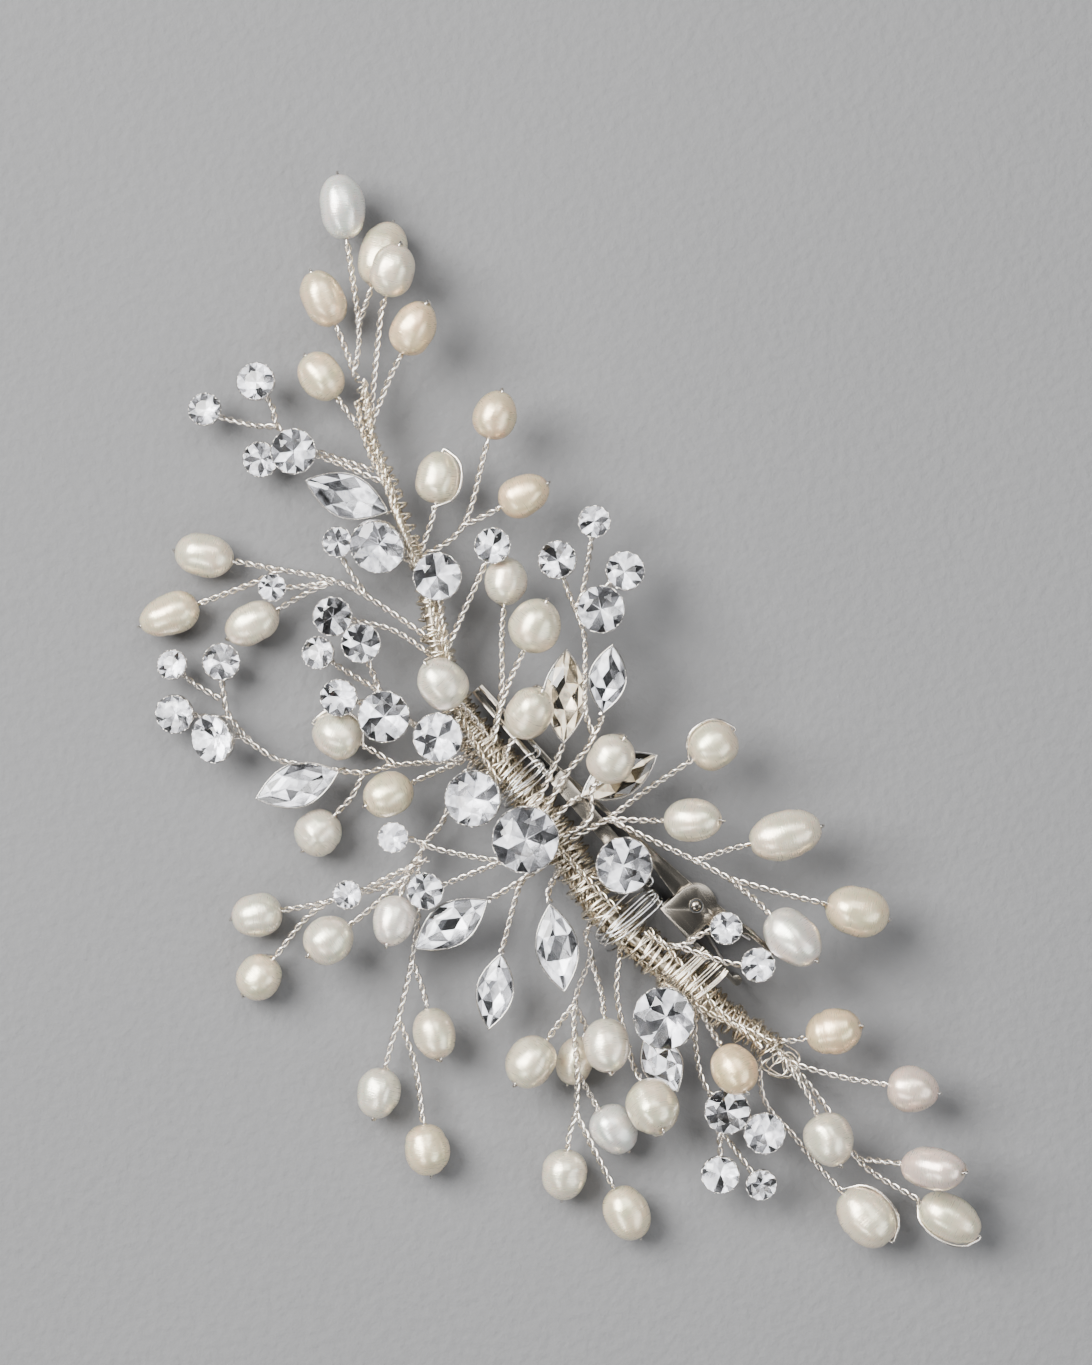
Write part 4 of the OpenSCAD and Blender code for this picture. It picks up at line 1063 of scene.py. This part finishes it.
def makeRivet():
    # shank, head with a sunk ring, and a dome inside it; the sunk ring is painted near black as painted shade
    r, top, shank = rivet["head"], rivet["top"], rivet["shank"]
    dome = r * rivet["dome"]
    profile = [
        (0, 0), (shank * 0.9, 0), (shank, 0.04 * mm), (shank, top), (r * 0.97, top), (r, top + 0.05 * mm),
        (r * 0.95, top + 0.08 * mm), (r * 0.9, top + 0.03 * mm), (dome, top + 0.03 * mm)]
    for k in range(1, 9):
        angle = math.radians(10 * k)
        profile.append((dome * math.cos(angle), top + 0.06 * mm + rivet["rise"] * math.sin(angle)))
    profile.append((0, top + 0.4 * mm))
    bm = bmesh.new()
    verts = [bm.verts.new((x, 0, z)) for x, z in profile]
    edges = [bm.edges.new(pair) for pair in zip(verts, verts[1:])]
    bmesh.ops.spin(bm, geom=verts + edges, cent=(0, 0, 0), axis=(0, 0, 1), dvec=(0, 0, 0), angle=math.tau,
                   steps=48, use_merge=True)
    bmesh.ops.remove_doubles(bm, verts=bm.verts, dist=0.001 * mm)
    bmesh.ops.recalc_face_normals(bm, faces=bm.faces)
    # painted shade: the faces of the sunk ring get the near-black finish
    for face in bm.faces:
        place = face.calc_center_median()
        if dome < place.xy.length < r * 0.96 and place.z > top + 0.01 * mm:
            face.material_index = 1
    bmesh.ops.translate(bm, verts=bm.verts, vec=pivot)
    placePiece("pivot_pin_look", meshFrom("pivot_pin", bm), ["nickel", "paintedShadeNickel"], sprayBody,
               ["pivot_pin"])


spring = {"wire": 0.2 * mm, "coil": 0.8 * mm, "turns": 5, "perTurn": 16}


def makeSpring():
    low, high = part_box("torsion_spring")
    wire, coilR, perTurn = spring["wire"], spring["coil"], spring["perTurn"]
    bottom, top = low.z + wire, high.z - wire
    steps = spring["turns"] * perTurn
    coil = []
    for i in range(steps + 1):
        turn = -math.pi / 2 - i * math.tau / perTurn
        height = bottom + (top - bottom) * i / steps
        coil.append(pivot + Vector((coilR * math.cos(turn), coilR * math.sin(turn), height)))
    leg = [Vector((20 * mm, 0.1 * mm, bottom)), Vector((16.5 * mm, 0.75 * mm, bottom))]
    bm = bmesh.new()
    drawWires(bm, [smoothLine(leg + coil, 0.15 * mm)], wire, 2)
    placePiece("torsion_spring_look", meshFrom("torsion_spring", bm), ["springSteel"], sprayBody,
               ["torsion_spring"])
    low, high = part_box("spring_lever_leg")
    z = (low.z + high.z) / 2
    bend = coilR * math.cos(math.pi / 4)
    leg = [
        pivot + Vector((-coilR, 0, z)), pivot + Vector((-bend, bend, z)), pivot + Vector((0, coilR, z)),
        Vector((16.5 * mm, 3.4 * mm, z)), Vector((19.5 * mm, 4.2 * mm, z))]
    bm = bmesh.new()
    drawWires(bm, [smoothLine(leg, 0.15 * mm)], wire, 2)
    placePiece("spring_leg_look", meshFrom("spring_leg", bm), ["springSteel"], "lever",
               ["spring_lever_leg"])


edgedCopy("clip_base", sprayBody)
edgedCopy("clip_lever", "lever")
makeRivet()
makeSpring()
print("clip made")


# Floor, lights and camera

sheet = {"half": 0.6, "height": -0.28 * mm}  # just under the tab's wire
sprayMiddle = (-0.018, 0.006, 0)
# place, size, power, colour
lamps = {
    "window": ((-0.57, -0.2, 0.69), (0.57, 0.57), 26, (1, 0.99, 0.97)),
    "ceiling": ((-0.3, 0.45, 0.8), (0.6, 0.5), 4.5, (1, 1, 1)),
    "fill": ((0.45, 0.2, 0.4), (0.5, 0.3), 1.8, (0.95, 0.97, 1)),
    "below": ((0.12, -0.45, 0.45), (0.3, 0.15), 1.2, (1, 1, 1))}
eye = {"lens": 93, "sensor": 24, "place": (-17.85 * mm, 5.9 * mm, 0.608), "turn": 48.93}


def addFloor():
    bm = bmesh.new()
    bmesh.ops.create_grid(bm, x_segments=1, y_segments=1, size=sheet["half"])
    bmesh.ops.translate(bm, verts=bm.verts, vec=(0, 0, sheet["height"]))
    mesh = meshFrom("floor", bm)
    mesh.materials.append(finishes["paper"])
    floor = bpy.data.objects.new("floor", mesh)
    bpy.context.scene.collection.objects.link(floor)


def addArea(name, place, size, power, colour):
    light = bpy.data.lights.new(name, "AREA")
    light.shape = "RECTANGLE"
    light.size, light.size_y = size
    light.energy = power
    light.color = colour
    holder = bpy.data.objects.new(name, light)
    bpy.context.scene.collection.objects.link(holder)
    holder.location = place
    holder.rotation_euler = (Vector(sprayMiddle) - Vector(place)).to_track_quat("-Z", "Y").to_euler()


def addCamera():
    # straight above the spray, turned as the spray lies on its sheet
    lens = bpy.data.cameras.new("camera")
    lens.sensor_fit = "VERTICAL"
    lens.sensor_height = eye["sensor"]
    lens.lens = eye["lens"]
    camera = bpy.data.objects.new("camera", lens)
    bpy.context.scene.collection.objects.link(camera)
    camera.location = eye["place"]
    camera.rotation_euler = (0, 0, math.radians(eye["turn"]))
    bpy.context.scene.camera = camera


def addWorld():
    world = bpy.data.worlds.new("room")
    world.use_nodes = True
    room = world.node_tree.nodes["Background"]
    room.inputs["Color"].default_value = (0.9, 0.95, 1, 1)
    room.inputs["Strength"].default_value = 0.1
    bpy.context.scene.world = world


addFloor()
addWorld()
addCamera()
for name, lamp in lamps.items():
    addArea(name, *lamp)
print("lights and camera set")
